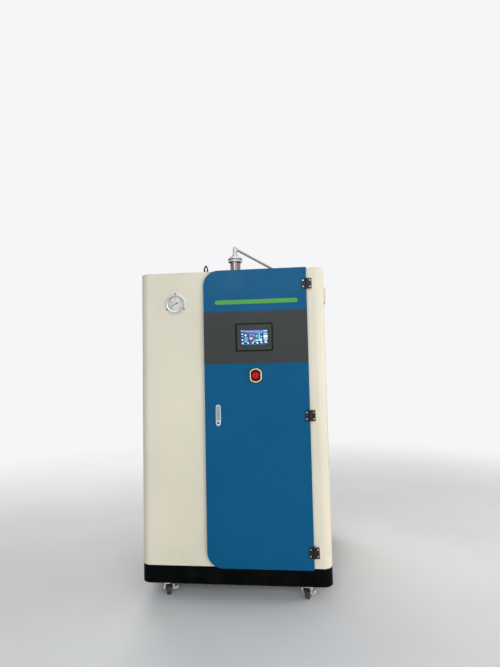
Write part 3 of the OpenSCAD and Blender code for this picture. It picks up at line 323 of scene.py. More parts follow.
# Near black for the brake cam between the fork's cheeks: painted shade.
cam_painted_shade = cast("brake_cam_painted_shade", (0.012, 0.012, 0.013), rough=0.6, grit=400, specular=0.25)
core = cast("wheel_core", (0.075, 0.08, 0.088), rough=0.5, grit=400)
# Near black for recesses and keyholes: painted shade.
recess_shade = cast("recess_painted_shade", (0.004, 0.004, 0.004), rough=0.8)

glass_paint = Paint("gauge_glass_clear", rough=0.03, specular=0.5)
glass_paint.set("Transmission Weight", 1.0)
glass_tint = glass_paint.mix(glass_paint.noise(30), (0.94, 0.97, 0.98), (0.98, 0.99, 0.99))
glass_paint.set("Base Color", glass_tint)
glass_paint.set("IOR", 1.12)
clear = glass_paint.material

# ---------------------------------------------------------------- mesh tools


def put(name, bm, body, material, stands_for=(), smooth=35.0):
    """A new piece from a bmesh, in the frame's own metres, riding on a body."""
    bmesh.ops.recalc_face_normals(bm, faces=bm.faces)
    mesh = bpy.data.meshes.new(name)
    bm.to_mesh(mesh)
    bm.free()
    for item in material if isinstance(material, (list, tuple)) else [material]:
        mesh.materials.append(item)
    mesh.shade_smooth()
    mesh.set_sharp_from_angle(angle=math.radians(smooth))
    obj = bpy.data.objects.new(name, mesh)
    bpy.context.scene.collection.objects.link(obj)
    even = obj.modifiers.new("even", "WEIGHTED_NORMAL")
    even.keep_sharp = True
    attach(obj, body)
    if stands_for:
        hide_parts(*stands_for)
    return obj


def applied(bm, *settings):
    """The bmesh after one modifier for each (kind, properties)."""
    mesh = bpy.data.meshes.new("work")
    bm.to_mesh(mesh)
    bm.free()
    obj = bpy.data.objects.new("work", mesh)
    bpy.context.scene.collection.objects.link(obj)
    for kind, props in settings:
        modifier = obj.modifiers.new(kind, kind)
        for key, value in props.items():
            setattr(modifier, key, value)
    bpy.context.view_layer.update()
    done = obj.evaluated_get(bpy.context.evaluated_depsgraph_get())
    out = bmesh.new()
    out.from_mesh(done.to_mesh())
    done.to_mesh_clear()
    bpy.data.objects.remove(obj)
    bpy.data.meshes.remove(mesh)
    return out


def rounded(bm, width, segments=2, angle=32.0):
    """The bmesh with its sharp edges rounded."""
    props = {
        "width": width,
        "segments": segments,
        "limit_method": "ANGLE",
        "angle_limit": math.radians(angle),
        "use_clamp_overlap": True,
        "harden_normals": False,
    }
    return applied(bm, ("BEVEL", props))


# Limits of the clean-up: metres, square metres and degrees
WELD = 1e-6
NO_AREA = 1e-13
FLAT_DEG = 0.6

BODY_OF = {}
for body_name, rides in frame["record"]["behaviour"]["bodies"].items():
    for item in rides:
        BODY_OF[item] = body_name


def cad_mesh(node):
    """A cleaned copy of a CAD node's mesh, with flat faces joined up."""
    bm = bmesh.new()
    bm.from_mesh(frame["nodes"][node].data)
    bmesh.ops.remove_doubles(bm, verts=bm.verts, dist=2 * WELD)
    bmesh.ops.dissolve_limit(
        bm, angle_limit=math.radians(FLAT_DEG), verts=bm.verts, edges=bm.edges,
        use_dissolve_boundaries=False,
    )
    return bm


def soften(node, width, material, segments=2, angle=32.0, pick=None, shape=None):
    """Replaces a CAD node by the same shape with rounded edges.

    `shape` changes the bmesh before that, and `pick` gives a face its material's number.
    """
    bm = cad_mesh(node)
    if shape:
        shape(bm)
    bm = rounded(bm, width * MM, segments, angle)
    if pick:
        for face in bm.faces:
            face.material_index = pick(face)
    return put(node + "_finished", bm, BODY_OF[node], material, (node,))


def coat(node, material):
    """Gives a CAD node that keeps its own shape a finished material."""
    mesh = frame["nodes"][node].data
    mesh.materials.clear()
    mesh.materials.append(material)


def turned(points, segments=32, closed=False):
    """Template of a lathed shape: points are (radius, height) in mm."""
    bm = bmesh.new()
    verts = [bm.verts.new((r * MM, 0, z * MM)) for r, z in points]
    edges = [bm.edges.new(pair) for pair in zip(verts, verts[1:])]
    if closed:
        edges.append(bm.edges.new((verts[-1], verts[0])))
    bmesh.ops.spin(
        bm, geom=verts + edges, axis=(0, 0, 1), cent=(0, 0, 0),
        angle=2 * math.pi, steps=segments, use_duplicate=False,
    )
    bmesh.ops.remove_doubles(bm, verts=bm.verts, dist=WELD)
    empty = [f for f in bm.faces if f.calc_area() < NO_AREA]
    bmesh.ops.delete(bm, geom=empty, context="FACES")
    return bm


def prism(points, low, high):
    """Template of a straight prism: points are (x, y) in mm, from z low to z high."""
    bm = bmesh.new()
    foot = [bm.verts.new((x * MM, y * MM, low * MM)) for x, y in points]
    top = [bm.verts.new((x * MM, y * MM, high * MM)) for x, y in points]
    bm.faces.new(foot[::-1])
    bm.faces.new(top)
    for i in range(len(points)):
        j = (i + 1) % len(points)
        bm.faces.new((foot[i], foot[j], top[j], top[i]))
    return bm


def polar(r, degrees, centre=(0, 0)):
    """The point at a radius and an angle from a centre."""
    a = math.radians(degrees)
    return centre[0] + r * math.cos(a), centre[1] + r * math.sin(a)


def ring_points(r, count):
    """Outline of a round, in mm."""
    turns = [2 * math.pi * i / count for i in range(count)]
    return [(r * math.cos(a), r * math.sin(a)) for a in turns]


def bow(outer, inner, start, step, count):
    """Outline of a curved band between two radii, over `count` steps in degrees."""
    turns = [start + step * i for i in range(count + 1)]
    return [polar(outer, a) for a in turns] + [polar(inner, a) for a in turns[::-1]]


def round_box(w, h, r, count=5):
    """Outline of a rectangle with round corners, centred, in mm."""
    out = []
    for cx, cy, start in ((1, 1, 0), (-1, 1, 90), (-1, -1, 180), (1, -1, 270)):
        for i in range(count + 1):
            a = math.radians(start + 90 * i / count)
            out.append((cx * (w / 2 - r) + r * math.cos(a), cy * (h / 2 - r) + r * math.sin(a)))
    return out


def stamp(target, template, matrix, index=0):
    """Adds a moved copy of a template to a bmesh."""
    mesh = bpy.data.meshes.new("stamp")
    template.to_mesh(mesh)
    mesh.transform(matrix)
    first = len(target.faces)
    target.from_mesh(mesh)
    target.faces.ensure_lookup_table()
    for face in target.faces[first:]:
        face.material_index = index
    bpy.data.meshes.remove(mesh)


def at(x, y, z):
    """A move, in mm."""
    return Matrix.Translation((x * MM, y * MM, z * MM))


# Turns that make a template's head, which faces up, face another way
FRONT = Matrix.Rotation(math.radians(90), 4, "X")
BACK = Matrix.Rotation(math.radians(-90), 4, "X")
DOWN = Matrix.Rotation(math.pi, 4, "X")
LEFT = Matrix.Rotation(math.radians(-90), 4, "Y")
RIGHT = Matrix.Rotation(math.radians(90), 4, "Y")


def spin_z(degrees):
    """A turn about the template's own axis."""
    return Matrix.Rotation(math.radians(degrees), 4, "Z")


def any_turn():
    """A screw's chance turn about its own axis."""
    return spin_z(random.uniform(0, 90))


# Templates of the screws and nuts stand on z = 0 with the head up, in mm.
# A washer's radius is a share of the width across the head's flats.
WASHER_T = 1.2
WASHER_SHARE = 0.62


def hex_head(across, height):
    """Hex head with rounded edges and a washer under it."""
    r = across / math.sqrt(3)
    bm = prism(ring_points(r, 6), WASHER_T, WASHER_T + height)
    bm = rounded(bm, 0.45 * MM, 2)
    disc = prism(ring_points(across * WASHER_SHARE, 28), 0, WASHER_T + 0.1)
    washer = rounded(disc, 0.25 * MM, 1)
    stamp(bm, washer, Matrix.Identity(4))
    washer.free()
    return bm


def cross_screw(r, height):
    """Pan head screw with a dark cross on its top, a painted shade of its cross recess."""
    dome = [(r, 0), (r, height * 0.35), (r * 0.86, height * 0.8), (r * 0.5, height)]
    bm = turned(dome, 24)
    rim = [e for e in bm.edges if e.is_boundary]
    bmesh.ops.holes_fill(bm, edges=rim, sides=0)
    top = max(bm.faces, key=lambda f: f.calc_center_median().z)
    arm = r * 0.36
    half = r * 0.09
    plus = []
    for q in range(4):
        c, s = math.cos(q * math.pi / 2), math.sin(q * math.pi / 2)
        for x, y in ((arm, -half), (arm, half), (half, half)):
            plus.append((x * c - y * s, x * s + y * c))
    z = top.calc_center_median().z
    cross = bmesh.new()
    rim_v = [cross.verts.new((x * MM, y * MM, z + 0.02 * MM)) for x, y in plus]
    mid_v = [cross.verts.new((x * MM * 0.6, y * MM * 0.6, z + 0.03 * MM)) for x, y in plus]
    cross.faces.new(mid_v)
    for i in range(len(plus)):
        j = (i + 1) % len(plus)
        cross.faces.new((rim_v[i], rim_v[j], mid_v[j], mid_v[i]))
    stamp(bm, cross, Matrix.Identity(4), 1)
    cross.free()
    return bm


# ---------------------------------------------------------------- stations of the CAD, in mm

# Front of the cabinet, back of its rear panel, front of the door
BODY_Y = -570.5
BACK_Y = 579.5
DOOR_Y = -595.5
HINGE_Z = (293, 1033, 1773)
LEAF_T = 4
# Middles in x and z of what stands on the front
GAUGE = (-323, 1685)
NEEDLE_DEG = 90 - 243
SCREEN = (138, 1477)
STOP = (144, 1261)
LOCK = (-75.5, 1039)
# Axes in x and y of the vessel and the pump
VESSEL = (-57, 94.5)
VESSEL_FOOT = 308
VESSEL_H = 1330
BAND_SHARES = (0.16, 0.5, 0.84)
JOINT_Z = 2081
FLANGE_R = 52.5
PUMP = (405, -155.5)
MOTOR_FOOT = 624
FEED_X = 125
FEED_JOINT_Y = -243.5
BLOW_X = -218
# Casters: middle of the swivel, turn of the fork in degrees
CORNERS = {
    "front_left": (-397, -508.5, 108),
    "front_right": (397, -508.5, 78),
    "rear_left": (-397, 517.5, 70),
    "rear_right": (397, 517.5, 110),
}

# ---------------------------------------------------------------- cabinet

soften("left_panel", 0.7, cream)
soften("right_panel", 0.7, cream)
soften("rear_panel", 0.7, cream_back)
soften("roof", 0.8, cream)
soften("door_frame", 0.8, cream)
soften("vent_covers", 0.8, cream)
soften("plinth", 1.2, black_coat)
soften("door_seal", 1.0, rubber, segments=3)
soften("roof_collars", 0.6, rubber)

# ---------------------------------------------------------------- door

soften("door_skin", 1.1, blue, segments=3)
soften("control_band", 0.4, band_film)
soften("door_stripe", 0.5, green_film, segments=3)
soften("hinge_door_leaves", 0.7, hinge_coat, segments=3)


def leaf_pick(face):
    """Black leaf, or the cream packer behind it."""
    return 1 if face.calc_center_median().y > (DOOR_Y + 0.8) * MM else 0


soften("hinge_frame_leaves", 0.7, [hinge_coat, cream], segments=3, pick=leaf_pick)

LEAF_SCREW_X = (("door", 421.5), ("root", 460.5))
LEAF_SCREW_DZ = 18

leaf_screw = cross_screw(4.2, 2.4)
for body, x in LEAF_SCREW_X:
    bm = bmesh.new()
    for z in HINGE_Z:
        for dz in (-LEAF_SCREW_DZ, LEAF_SCREW_DZ):
            stamp(bm, leaf_screw, at(x, DOOR_Y - LEAF_T, z + dz) @ FRONT @ any_turn())
    put("hinge_screws_" + body, bm, body, [zinc_dull, recess_shade])

# ---------------------------------------------------------------- control screen

# The bezel's grey face: its front and back, and its outline's shift from the screen's middle
FACE_FRONT = -603.3
FACE_BACK = -602.9
FACE_SHIFT = 1.6

soften("screen_bezel", 0.9, plastic, segments=3)

bm = bmesh.new()
outer = [(x + FACE_SHIFT, z) for x, z in round_box(195, 143.4, 4)]
inner = round_box(161, 89, 1.5)
edges = ((outer, FACE_FRONT), (inner, FACE_FRONT), (inner, FACE_BACK), (outer, FACE_BACK))
rings = []
for outline, y in edges:
    points = [((SCREEN[0] + x) * MM, y * MM, (SCREEN[1] + z) * MM) for x, z in outline]
    rings.append([bm.verts.new(p) for p in points])
for a, b in zip(rings, rings[1:] + rings[:1]):
    for i in range(len(outer)):
        j = (i + 1) % len(outer)
        bm.faces.new((a[i], a[j], b[j], b[i]))
put("screen_bezel_face", bm, "door", grey_plastic)

# Shades of the display, lit from behind
SHADES = {
    "navy": lit("display_navy", (0.014, 0.032, 0.085), 0.9),
    "sky": lit("display_sky", (0.17, 0.36, 0.86), 0.8),
    "deep": lit("display_deep_blue", (0.075, 0.14, 0.62), 0.75),
    "tank": lit("display_tank", (0.06, 0.26, 0.6), 0.8, (0.1, 0.36, 0.68)),
    "ice": lit("display_ice", (0.3, 0.62, 0.86), 0.85, (0.4, 0.72, 0.9)),
    "violet": lit("display_violet", (0.13, 0.12, 0.3), 0.8),
    "teal": lit("display_teal", (0.03, 0.5, 0.62), 0.85, (0.02, 0.3, 0.33)),
    "cyan": lit("display_cyan", (0.22, 0.72, 0.84), 0.85, (0.3, 0.66, 0.9)),
    "pale": lit("display_pale", (0.72, 0.86, 0.98), 0.95, (0.8, 0.92, 1.0)),
    "dark_teal": lit("display_dark_teal", (0.01, 0.09, 0.12), 0.8),
}

# Fields of the display: middle from its lower left corner, width, height and corner radius
# in mm, shade, layer
FIELDS = [
    # header
    (12, 79.5, 15, 5, 1.2, "ice", 0), (76, 76, 108, 8.5, 1.4, "sky", 0),
    (84, 66, 92, 9, 2, "deep", 0), (95, 67.5, 36, 3.5, 1.5, "sky", 1),
    # left column of buttons, lamp and tank
    (13, 62, 9, 7.5, 2.6, "pale", 0), (13, 47, 8, 6, 2.4, "ice", 0),
    (13, 28.5, 9, 8.5, 2.6, "pale", 0), (31, 54.5, 11, 11, 4.5, "pale", 0),
    (34, 30, 22, 31, 6, "tank", 0), (37, 34, 10, 12, 4, "sky", 1),
    (29, 17, 12, 5, 1.5, "cyan", 1),
    # middle block with its values
    (67, 44, 34, 38, 3, "violet", 0), (62, 57.5, 12, 8, 3, "sky", 1),
    (62, 36, 15, 8, 2.5, "pale", 1), (78, 53, 6, 6, 2, "ice", 1),
    (62, 21, 11, 7, 1.5, "violet", 1), (78, 19, 12, 6, 1.5, "ice", 0),
    (80, 32, 9, 10, 2, "deep", 1),
    # pump disc in its dark ring, with the value under it
    (94.5, 47, 21, 27, 8, "dark_teal", 0), (94.5, 47.5, 12.5, 17, 6, "teal", 1),
    (94.5, 50, 7, 7, 3.4, "cyan", 2), (94.5, 24.5, 18, 12, 2, "cyan", 0),
    (94.5, 30, 14, 3, 1, "teal", 1),
    # riser bar and the marks beside it
    (108.5, 43.5, 7, 43, 2, "cyan", 0), (108.5, 60, 6, 8, 2, "ice", 1),
    (120, 45, 9, 9, 3, "ice", 0), (118, 26, 11, 15, 4, "pale", 0), (121, 67, 9, 6, 1.5, "ice", 0),
    (127, 35, 5, 8, 1.5, "deep", 0),
    # right column of values
    (143.5, 77.5, 22, 8, 1.2, "cyan", 0), (143.5, 69, 22, 6, 1.2, "tank", 0),
    (143.5, 61, 22, 5.5, 1.2, "ice", 0), (144, 46.5, 23, 15, 2, "pale", 0),
    (144, 35.5, 22, 5, 1, "cyan", 0), (144, 28, 22, 8, 1.5, "ice", 0),
    (144.5, 15, 24, 15, 2.5, "dark_teal", 0), (144, 15.5, 13, 10, 4.2, "pale", 1),
    (151, 9, 9, 4, 1.5, "ice", 1),
    # bottom row of buttons
    (14, 9.5, 10, 7, 2.4, "pale", 0), (45, 10, 10, 7, 2.4, "pale", 0),
    (71, 10.5, 10.5, 7, 2.4, "pale", 0), (97, 10, 11, 7.5, 2.4, "pale", 0),
    (121.5, 11.5, 13, 8, 2.4, "ice", 0), (76, 2.8, 132, 2.2, 0.8, "tank", 0),
]
# The display's lower left corner from its middle, and the fields' place and thickness
FIELD_CORNER = (79, 43)
FIELD_Y = -602.66
FIELD_T = 0.16
LAYER_T = 0.07

bm = bmesh.new()
tile = prism(round_box(157.4, 85.4, 1.2), 0, 0.5)
stamp(bm, tile, at(SCREEN[0], -602.2, SCREEN[1]) @ FRONT)
shade_names = list(SHADES)
for x, z, wide, high, r, shade, layer in FIELDS:
    tile = prism(round_box(wide, high, r, 6), 0, FIELD_T + LAYER_T * layer)
    place = at(SCREEN[0] - FIELD_CORNER[0] + x, FIELD_Y, SCREEN[1] - FIELD_CORNER[1] + z)
    stamp(bm, tile, place @ FRONT, shade_names.index(shade))
    tile.free()
put("display_fields", bm, "door", list(SHADES.values()))
coat("touch_screen", SHADES["navy"])

# ---------------------------------------------------------------- stop button

# The guard's well: half width, half height and depth before the door's face
WELL_HALF = (27.5, 33.5)
WELL_DEEP = 23.5
BUTTON_Y = -639.2


def guard_pick(face):
    """Yellow rim, the well round the button darkened as painted shade, or the black block behind
    the door's face.
    """
    c = face.calc_center_median()
    if c.y > (DOOR_Y + 1.5) * MM:
        return 2
    x, z = c.x - STOP[0] * MM, c.z - STOP[1] * MM
    deep = (DOOR_Y - WELL_DEEP) * MM < c.y < DOOR_Y * MM
    inner = abs(x) < WELL_HALF[0] * MM and abs(z) < WELL_HALF[1] * MM and deep
    inward = face.normal.x * x + face.normal.z * z < 0 or face.normal.y < -0.5
    return 1 if inner and inward else 0


soften("stop_guard", 1.4, [yellow, guard_well_painted_shade, plastic], segments=3, pick=guard_pick)
soften("stop_button", 0.9, red, segments=3)

# Three bent arrows: a band from its start over some steps in degrees, then a tip
ARROW_R = (12.6, 10.9)
ARROW_START = 12
ARROW_STEP = 7
ARROW_STEPS = 8
ARROW_TIP = ((9.2, -0.6), (14.3, -0.6), (11.75, 3.6))
ARROW_Z = (-0.4, 0.25)

bm = bmesh.new()
button_at = at(STOP[0], BUTTON_Y, STOP[1]) @ FRONT
for k in range(3):
    start = k * 120 + ARROW_START
    shaft = bow(*ARROW_R, start, ARROW_STEP, ARROW_STEPS)
    stamp(bm, prism(shaft, *ARROW_Z), button_at)
    c, s = polar(1, start + ARROW_STEP * ARROW_STEPS)
    tip = [(x * c - y * s, x * s + y * c) for x, y in ARROW_TIP]
    stamp(bm, prism(tip, *ARROW_Z), button_at)
put("stop_arrows", bm, "stop_button", red_print)

# ---------------------------------------------------------------- lock

# Half width of the plate's body, and the share of its rim's width that is kept
PLATE_HALF = 11.2
RIM_SHARE = 0.55
KEY_Z = 997
KEY_Y = -602.0


def narrowed(bm):
    """The lock plate's rim drawn in towards its body on both sides."""
    half = PLATE_HALF * MM
    for v in bm.verts:
        off = v.co.x - LOCK[0] * MM
        if abs(off) > half:
            v.co.x = LOCK[0] * MM + math.copysign(half + (abs(off) - half) * RIM_SHARE, off)


soften("lock_plate", 0.7, lock_metal, segments=3, shape=narrowed)
soften("lock_handle", 0.9, handle_metal, segments=3)
soften("lock_cam", 0.5, zinc_dull)

# The key barrel's face and its keyway slot are dark as painted shade.
bm = bmesh.new()
ring = turned([(7.2, -1), (7.2, 0.1), (7.0, 0.3), (6.8, 0.3), (6.5, 0.0), (6.5, -1)], 40)
stamp(bm, ring, at(LOCK[0], KEY_Y - 0.2, KEY_Z) @ FRONT)
key_at = at(LOCK[0], KEY_Y, KEY_Z) @ FRONT
stamp(bm, prism(ring_points(6.6, 32), -0.5, 0.05), key_at, 1)
stamp(bm, prism(round_box(1.4, 6.2, 0.6), 0, 0.12), key_at, 2)
put("key_barrel", bm, "door", [chrome, recess_shade, hinge_coat])

# ---------------------------------------------------------------- pressure gauge

# The bezel: radius, and how far its foot and its bright rim stand before the body
BEZEL_R = 52.5
BEZEL_FOOT = 1
BEZEL_WALL = 9.6
# The round weight on the needle's tail: place along the needle, radius, back and front
TAIL_AT = 11.5
TAIL_R = 4.6
TAIL_Z = (2.9, 4.1)
# The flange's screws: circle, angles, and the flange's thickness under them
SCREW_R = 59
SCREW_DEG = (90, 210, 330)
FLANGE_T = 2.5


def gauge_pick(face):
    """Flange, walls of the bezel darkened as painted shade, or its bright rim."""
    c = face.calc_center_median()
    r = math.hypot(c.x - GAUGE[0] * MM, c.z - GAUGE[1] * MM)
    proud = BODY_Y * MM - c.y
    if r > BEZEL_R * MM or proud < BEZEL_FOOT * MM:
        return 0
    return 1 if proud < BEZEL_WALL * MM and abs(face.normal.y) < 0.7 else 2


soften("gauge_case", 0.6, [gauge_plate, gauge_wall_painted_shade, gauge_rim], pick=gauge_pick)
coat("gauge_dial", enamel)
soften("gauge_needle", 0.25, black_print)
bm = bmesh.new()
disc = rounded(prism(ring_points(TAIL_R, 28), *TAIL_Z), 0.3 * MM)
x, z = polar(TAIL_AT, NEEDLE_DEG + 180, GAUGE)
stamp(bm, disc, at(x, BODY_Y, z) @ FRONT)
put("gauge_needle_tail", bm, BODY_OF["gauge_needle"], black_print)
coat("gauge_glass", clear)

# The scale: angles in degrees, radii and sizes in mm
DIAL_Y = -572.5
DIAL_START = 225
DIAL_SWEEP = 270
SCALE_R = 43
SCALE_EDGE_R = 43.6
TICKS = 40
TICK_R = (36, 39, 40.5)
TICK_WIDE = (1.5, 0.7)
DIGIT_WIDE = 0.8
PRINT_T = 0.12
NUMBERS = ("0", "4", "8", "12", "16")
NUMBER_R = 29
DIGIT_STEP = 5.2
DIGIT_HALF = (1.5, 1.7)
# Strokes that make a digit, and each stroke's ends in half digits
SEGMENTS = {
    "0": "abcdef", "4": "bcfg", "8": "abcdefg", "1": "bc", "2": "abdeg", "6": "acdefg",
}
STROKES = {
    "a": (-1, 2, 1, 2), "b": (1, 0, 1, 2), "c": (1, -2, 1, 0), "d": (-1, -2, 1, -2),
    "e": (-1, -2, -1, 0), "f": (-1, 0, -1, 2), "g": (-1, 0, 1, 0),
}


def stroke(x0, z0, x1, z1, wide):
    """Outline of a straight stroke with a width."""
    d = Vector((x1 - x0, z1 - z0))
    n = Vector((-d.y, d.x)).normalized() * wide / 2
    e = d.normalized() * wide / 2
    a, b = Vector((x0, z0)) - e, Vector((x1, z1)) + e
    return [tuple(a - n), tuple(b - n), tuple(b + n), tuple(a + n)]


bm = bmesh.new()
face_at = at(GAUGE[0], DIAL_Y, GAUGE[1]) @ FRONT
for i in range(TICKS + 1):
    angle = DIAL_START - i * DIAL_SWEEP / TICKS
    long = i % 10 == 0
    r0 = TICK_R[0] if long else TICK_R[1] if i % 5 == 0 else TICK_R[2]
    mark = stroke(*polar(r0, angle), *polar(SCALE_R, angle), TICK_WIDE[0 if long else 1])
    stamp(bm, prism(mark, 0, PRINT_T), face_at)
for i, text in enumerate(NUMBERS):
    middle_x, middle_z = polar(NUMBER_R, DIAL_START - i * DIAL_SWEEP / (len(NUMBERS) - 1))
    for k, digit in enumerate(text):
        ox = middle_x + (k - (len(text) - 1) / 2) * DIGIT_STEP
        for name in SEGMENTS[digit]:
            x0, z0, x1, z1 = (q * DIGIT_HALF[j % 2] for j, q in enumerate(STROKES[name]))
            mark = stroke(ox + x0, middle_z + z0, ox + x1, middle_z + z1, DIGIT_WIDE)
            stamp(bm, prism(mark, 0, PRINT_T), face_at)
edge = bow(SCALE_EDGE_R, SCALE_R, DIAL_START, -DIAL_SWEEP / 60, 60)
stamp(bm, prism(edge[::-1], 0, PRINT_T), face_at)
put("dial_marks", bm, "root", black_print)

bm = bmesh.new()
flange_screw = cross_screw(4.6, 2.6)
for angle in SCREW_DEG:
    x, z = polar(SCREW_R, angle, GAUGE)
    stamp(bm, flange_screw, at(x, BODY_Y - FLANGE_T, z) @ FRONT @ spin_z(angle * 1.7))
put("gauge_screws", bm, "root", [hinge_coat, recess_shade])

# ---------------------------------------------------------------- riser, tube, eye

NECK_TOP = 2064
GASKET_BORE = 30
GASKET_HALF = 2.6
# The eye: way across its ring in degrees, how far down it is drawn together, and how much
EYE_DEG = 65
EYE_DROP = 40
EYE_SHARE = 0.6
FLANGE_BOLT_R = 37.5
# Heights of the flange joint's heads and studs
HEAD_OVER = 2096.5
HEAD_UNDER = 2065.5
STUD_R = 5.6
STUD_Z = (2054, 2097)


def between(low, high):
    """A pick of 1 for the faces whose middle is between two heights."""
    return lambda face: 1 if low * MM < face.calc_center_median().z < high * MM else 0


# The neck's reddish-brown steel carries a painted reflection.
soften("steam_nozzle", 0.8, [neck_painted_reflection, galvanized], pick=between(NECK_TOP, math.inf))

# The gasket is drawn larger and thicker than the CAD's, a dark ring that also stands as painted
# shade of the gap between the flanges.
outline = [
    (GASKET_BORE, -GASKET_HALF), (FLANGE_R - 2.5, -GASKET_HALF), (FLANGE_R - 2, 0),
    (FLANGE_R - 2.5, GASKET_HALF), (GASKET_BORE, GASKET_HALF),
]
bm = bmesh.new()
stamp(bm, turned(outline, 64, closed=True), at(*VESSEL, JOINT_Z))
put(
    "flange_gasket_finished", bm, BODY_OF["flange_gasket"], gasket,
    ("flange_gasket",)
)
soften("riser", 0.7, galvanized)
soften("pipe_elbow", 0.8, galvanized)
coat("vent_tube", tube_steel)
soften("steam_outlet", 0.7, steel)


def pointed(bm):
    """The lifting eye's ring drawn together towards its top, as a bent loop."""
    x = (min(v.co.x for v in bm.verts) + max(v.co.x for v in bm.verts)) / 2
    y = (min(v.co.y for v in bm.verts) + max(v.co.y for v in bm.verts)) / 2
    top = max(v.co.z for v in bm.verts)
    way = Vector((*polar(1, EYE_DEG), 0))
    for v in bm.verts:
        off = (v.co - Vector((x, y, 0))).dot(way)
        rise = min(max(1 - (top - v.co.z) / (EYE_DROP * MM), 0.0), 1.0)
        v.co -= way * off * EYE_SHARE * rise


soften("lifting_eye", 0.5, hinge_coat, shape=pointed)
soften("water_pipes", 0.6, steel)
soften("feed_pipe", 0.7, tube_steel)

m12_head = hex_head(19, 8)
bm = bmesh.new()
stud = prism(ring_points(STUD_R, 20), STUD_Z[0] - HEAD_UNDER, STUD_Z[1] - HEAD_UNDER)
# Heads under the joint and the studs take the dark copy: painted shade.
for angle in (45, 135, 225, 315):
    x, y = polar(FLANGE_BOLT_R, angle, VESSEL)
    stamp(bm, m12_head, at(x, y, HEAD_OVER) @ spin_z(angle + 7))
    stamp(bm, m12_head, at(x, y, HEAD_UNDER) @ DOWN @ spin_z(angle), 1)
    stamp(bm, stud, at(x, y, HEAD_UNDER), 1)
put("flange_bolts", bm, "root", [zinc, under_joint_painted_shade])

# ---------------------------------------------------------------- vessel, pump and pipes inside

# Heights of the pump's stainless part
PUMP_STEEL = (306, 550)
HATCH_Z = 788
HATCH_Y = -283.5
HATCH_BOLT_R = 73
JOINT_BOLT_R = 32.5
# Bolted joints of the pipes: their middle, and the way that the heads face
JOINTS = (
    (FEED_X, FEED_JOINT_Y - 12, 560, FRONT), (PUMP[0], -262.5, 273, FRONT),
    (PUMP[0], -238.5, 273, BACK), (PUMP[0], -48.5, 273, BACK), (BLOW_X, 436.5, 350, BACK),
)
# The bands' clamps: turn in degrees, radii of the plate, the lugs and the rod
CLAMP_DEG = -58
CLAMP_R = (355.5, 359, 361.5)
CLAMP_SCREW_DY = 17
# The cladding's seam: turn, radii, start, step and steps in degrees, and its runs between bands
SEAM_DEG = -38
SEAM_R = (350.9, 349.6)
SEAM_ARC = (-2.4, 0.8, 6)
SEAM_RUNS = ((400, 508), (534, 960), (986, 1412), (1438, 1546))
RIVET_DY = 7
RIVET_Z = range(420, 1540, 40)
RIVET_CLEAR = 24

soften("vessel", 0.8, cladding)
soften("feed_pump", 0.8, [pump_paint, pump_steel], pick=between(*PUMP_STEEL))

m10_head = hex_head(16, 6.5)
bm = bmesh.new()
for i in range(8):
    x, z = polar(HATCH_BOLT_R, 22.5 + 45 * i, (VESSEL[0], HATCH_Z))
    stamp(bm, m10_head, at(x, HATCH_Y, z) @ FRONT @ spin_z(i * 13))
for joint_x, y, joint_z, way in JOINTS:
    for i in range(4):
        x, z = polar(JOINT_BOLT_R, 45 + 90 * i, (joint_x, joint_z))
        stamp(bm, m10_head, at(x, y, z) @ way @ spin_z(i * 17))
put("inside_bolts", bm, "root", zinc_dull)

# Clamps of the cladding bands
clamp = rounded(prism(round_box(9, 46, 3), -9, 9), 1 * MM)
lug = rounded(prism(round_box(7, 7, 2), -13, 13), 0.8 * MM)
rod = prism(ring_points(2.4, 16), -CLAMP_SCREW_DY, CLAMP_SCREW_DY)
band_z = [VESSEL_FOOT + VESSEL_H * share for share in BAND_SHARES]
bm = bmesh.new()
for z in band_z:
    spot = at(*VESSEL, z) @ spin_z(CLAMP_DEG)
    stamp(bm, clamp, spot @ at(CLAMP_R[0], 0, 0))
    for dy in (-CLAMP_SCREW_DY, CLAMP_SCREW_DY):
        stamp(bm, lug, spot @ at(CLAMP_R[1], dy, 0))
    stamp(bm, rod, spot @ at(CLAMP_R[2], 0, 0) @ FRONT)
put("band_clamps", bm, "root", satin)

# The cladding's lapped seam with its rivets
lap = bow(*SEAM_R, *SEAM_ARC)
rivet = turned([(3.6, 0), (3.4, 0.9), (2.4, 1.7), (1.0, 2.0), (0.01, 2.0)], 16)
seam_at = at(*VESSEL, 0) @ spin_z(SEAM_DEG)
bm = bmesh.new()
for low, high in SEAM_RUNS:
    stamp(bm, prism(lap, low, high), seam_at)
for z in RIVET_Z:
    if all(abs(z - band) > RIVET_CLEAR for band in band_z):
        stamp(bm, rivet, seam_at @ at(SEAM_R[0], RIVET_DY, z) @ RIGHT)
put("cladding_seam", bm, "root", cladding)

# Cooling fins of the pump's motor, on both sides of its terminal box
FIN_COUNT = 28
FIN_OUTLINE = [(58, -0.9), (64.5, -0.6), (64.5, 0.6), (58, 0.9)]
FIN_Z = (MOTOR_FOOT + 16, MOTOR_FOOT + 162)
BOX_DEG = (160, 200)

bm = bmesh.new()
fin = rounded(prism(FIN_OUTLINE, *FIN_Z), 0.3 * MM, 1)
for i in range(FIN_COUNT):
    angle = 360 / FIN_COUNT * (i + 0.5)
    if not BOX_DEG[0] < angle < BOX_DEG[1]:
        stamp(bm, fin, at(*PUMP, 0) @ spin_z(angle))
put("motor_fins", bm, "root", pump_paint)

# Lid of the terminal box with its screws
LID_X = PUMP[0] - 78
LID_Z = 702
LID_T = 3
LID_SCREW = 24

bm = bmesh.new()
lid = rounded(prism(round_box(60, 60, 6), 0, LID_T), 0.8 * MM)
stamp(bm, lid, at(LID_X, PUMP[1], LID_Z) @ LEFT)
for dy in (-LID_SCREW, LID_SCREW):
    for dz in (-LID_SCREW, LID_SCREW):
        stamp(bm, rivet, at(LID_X - LID_T, PUMP[1] + dy, LID_Z + dz) @ LEFT, 1)
put("terminal_lid", bm, "root", [pump_paint, zinc_dull])

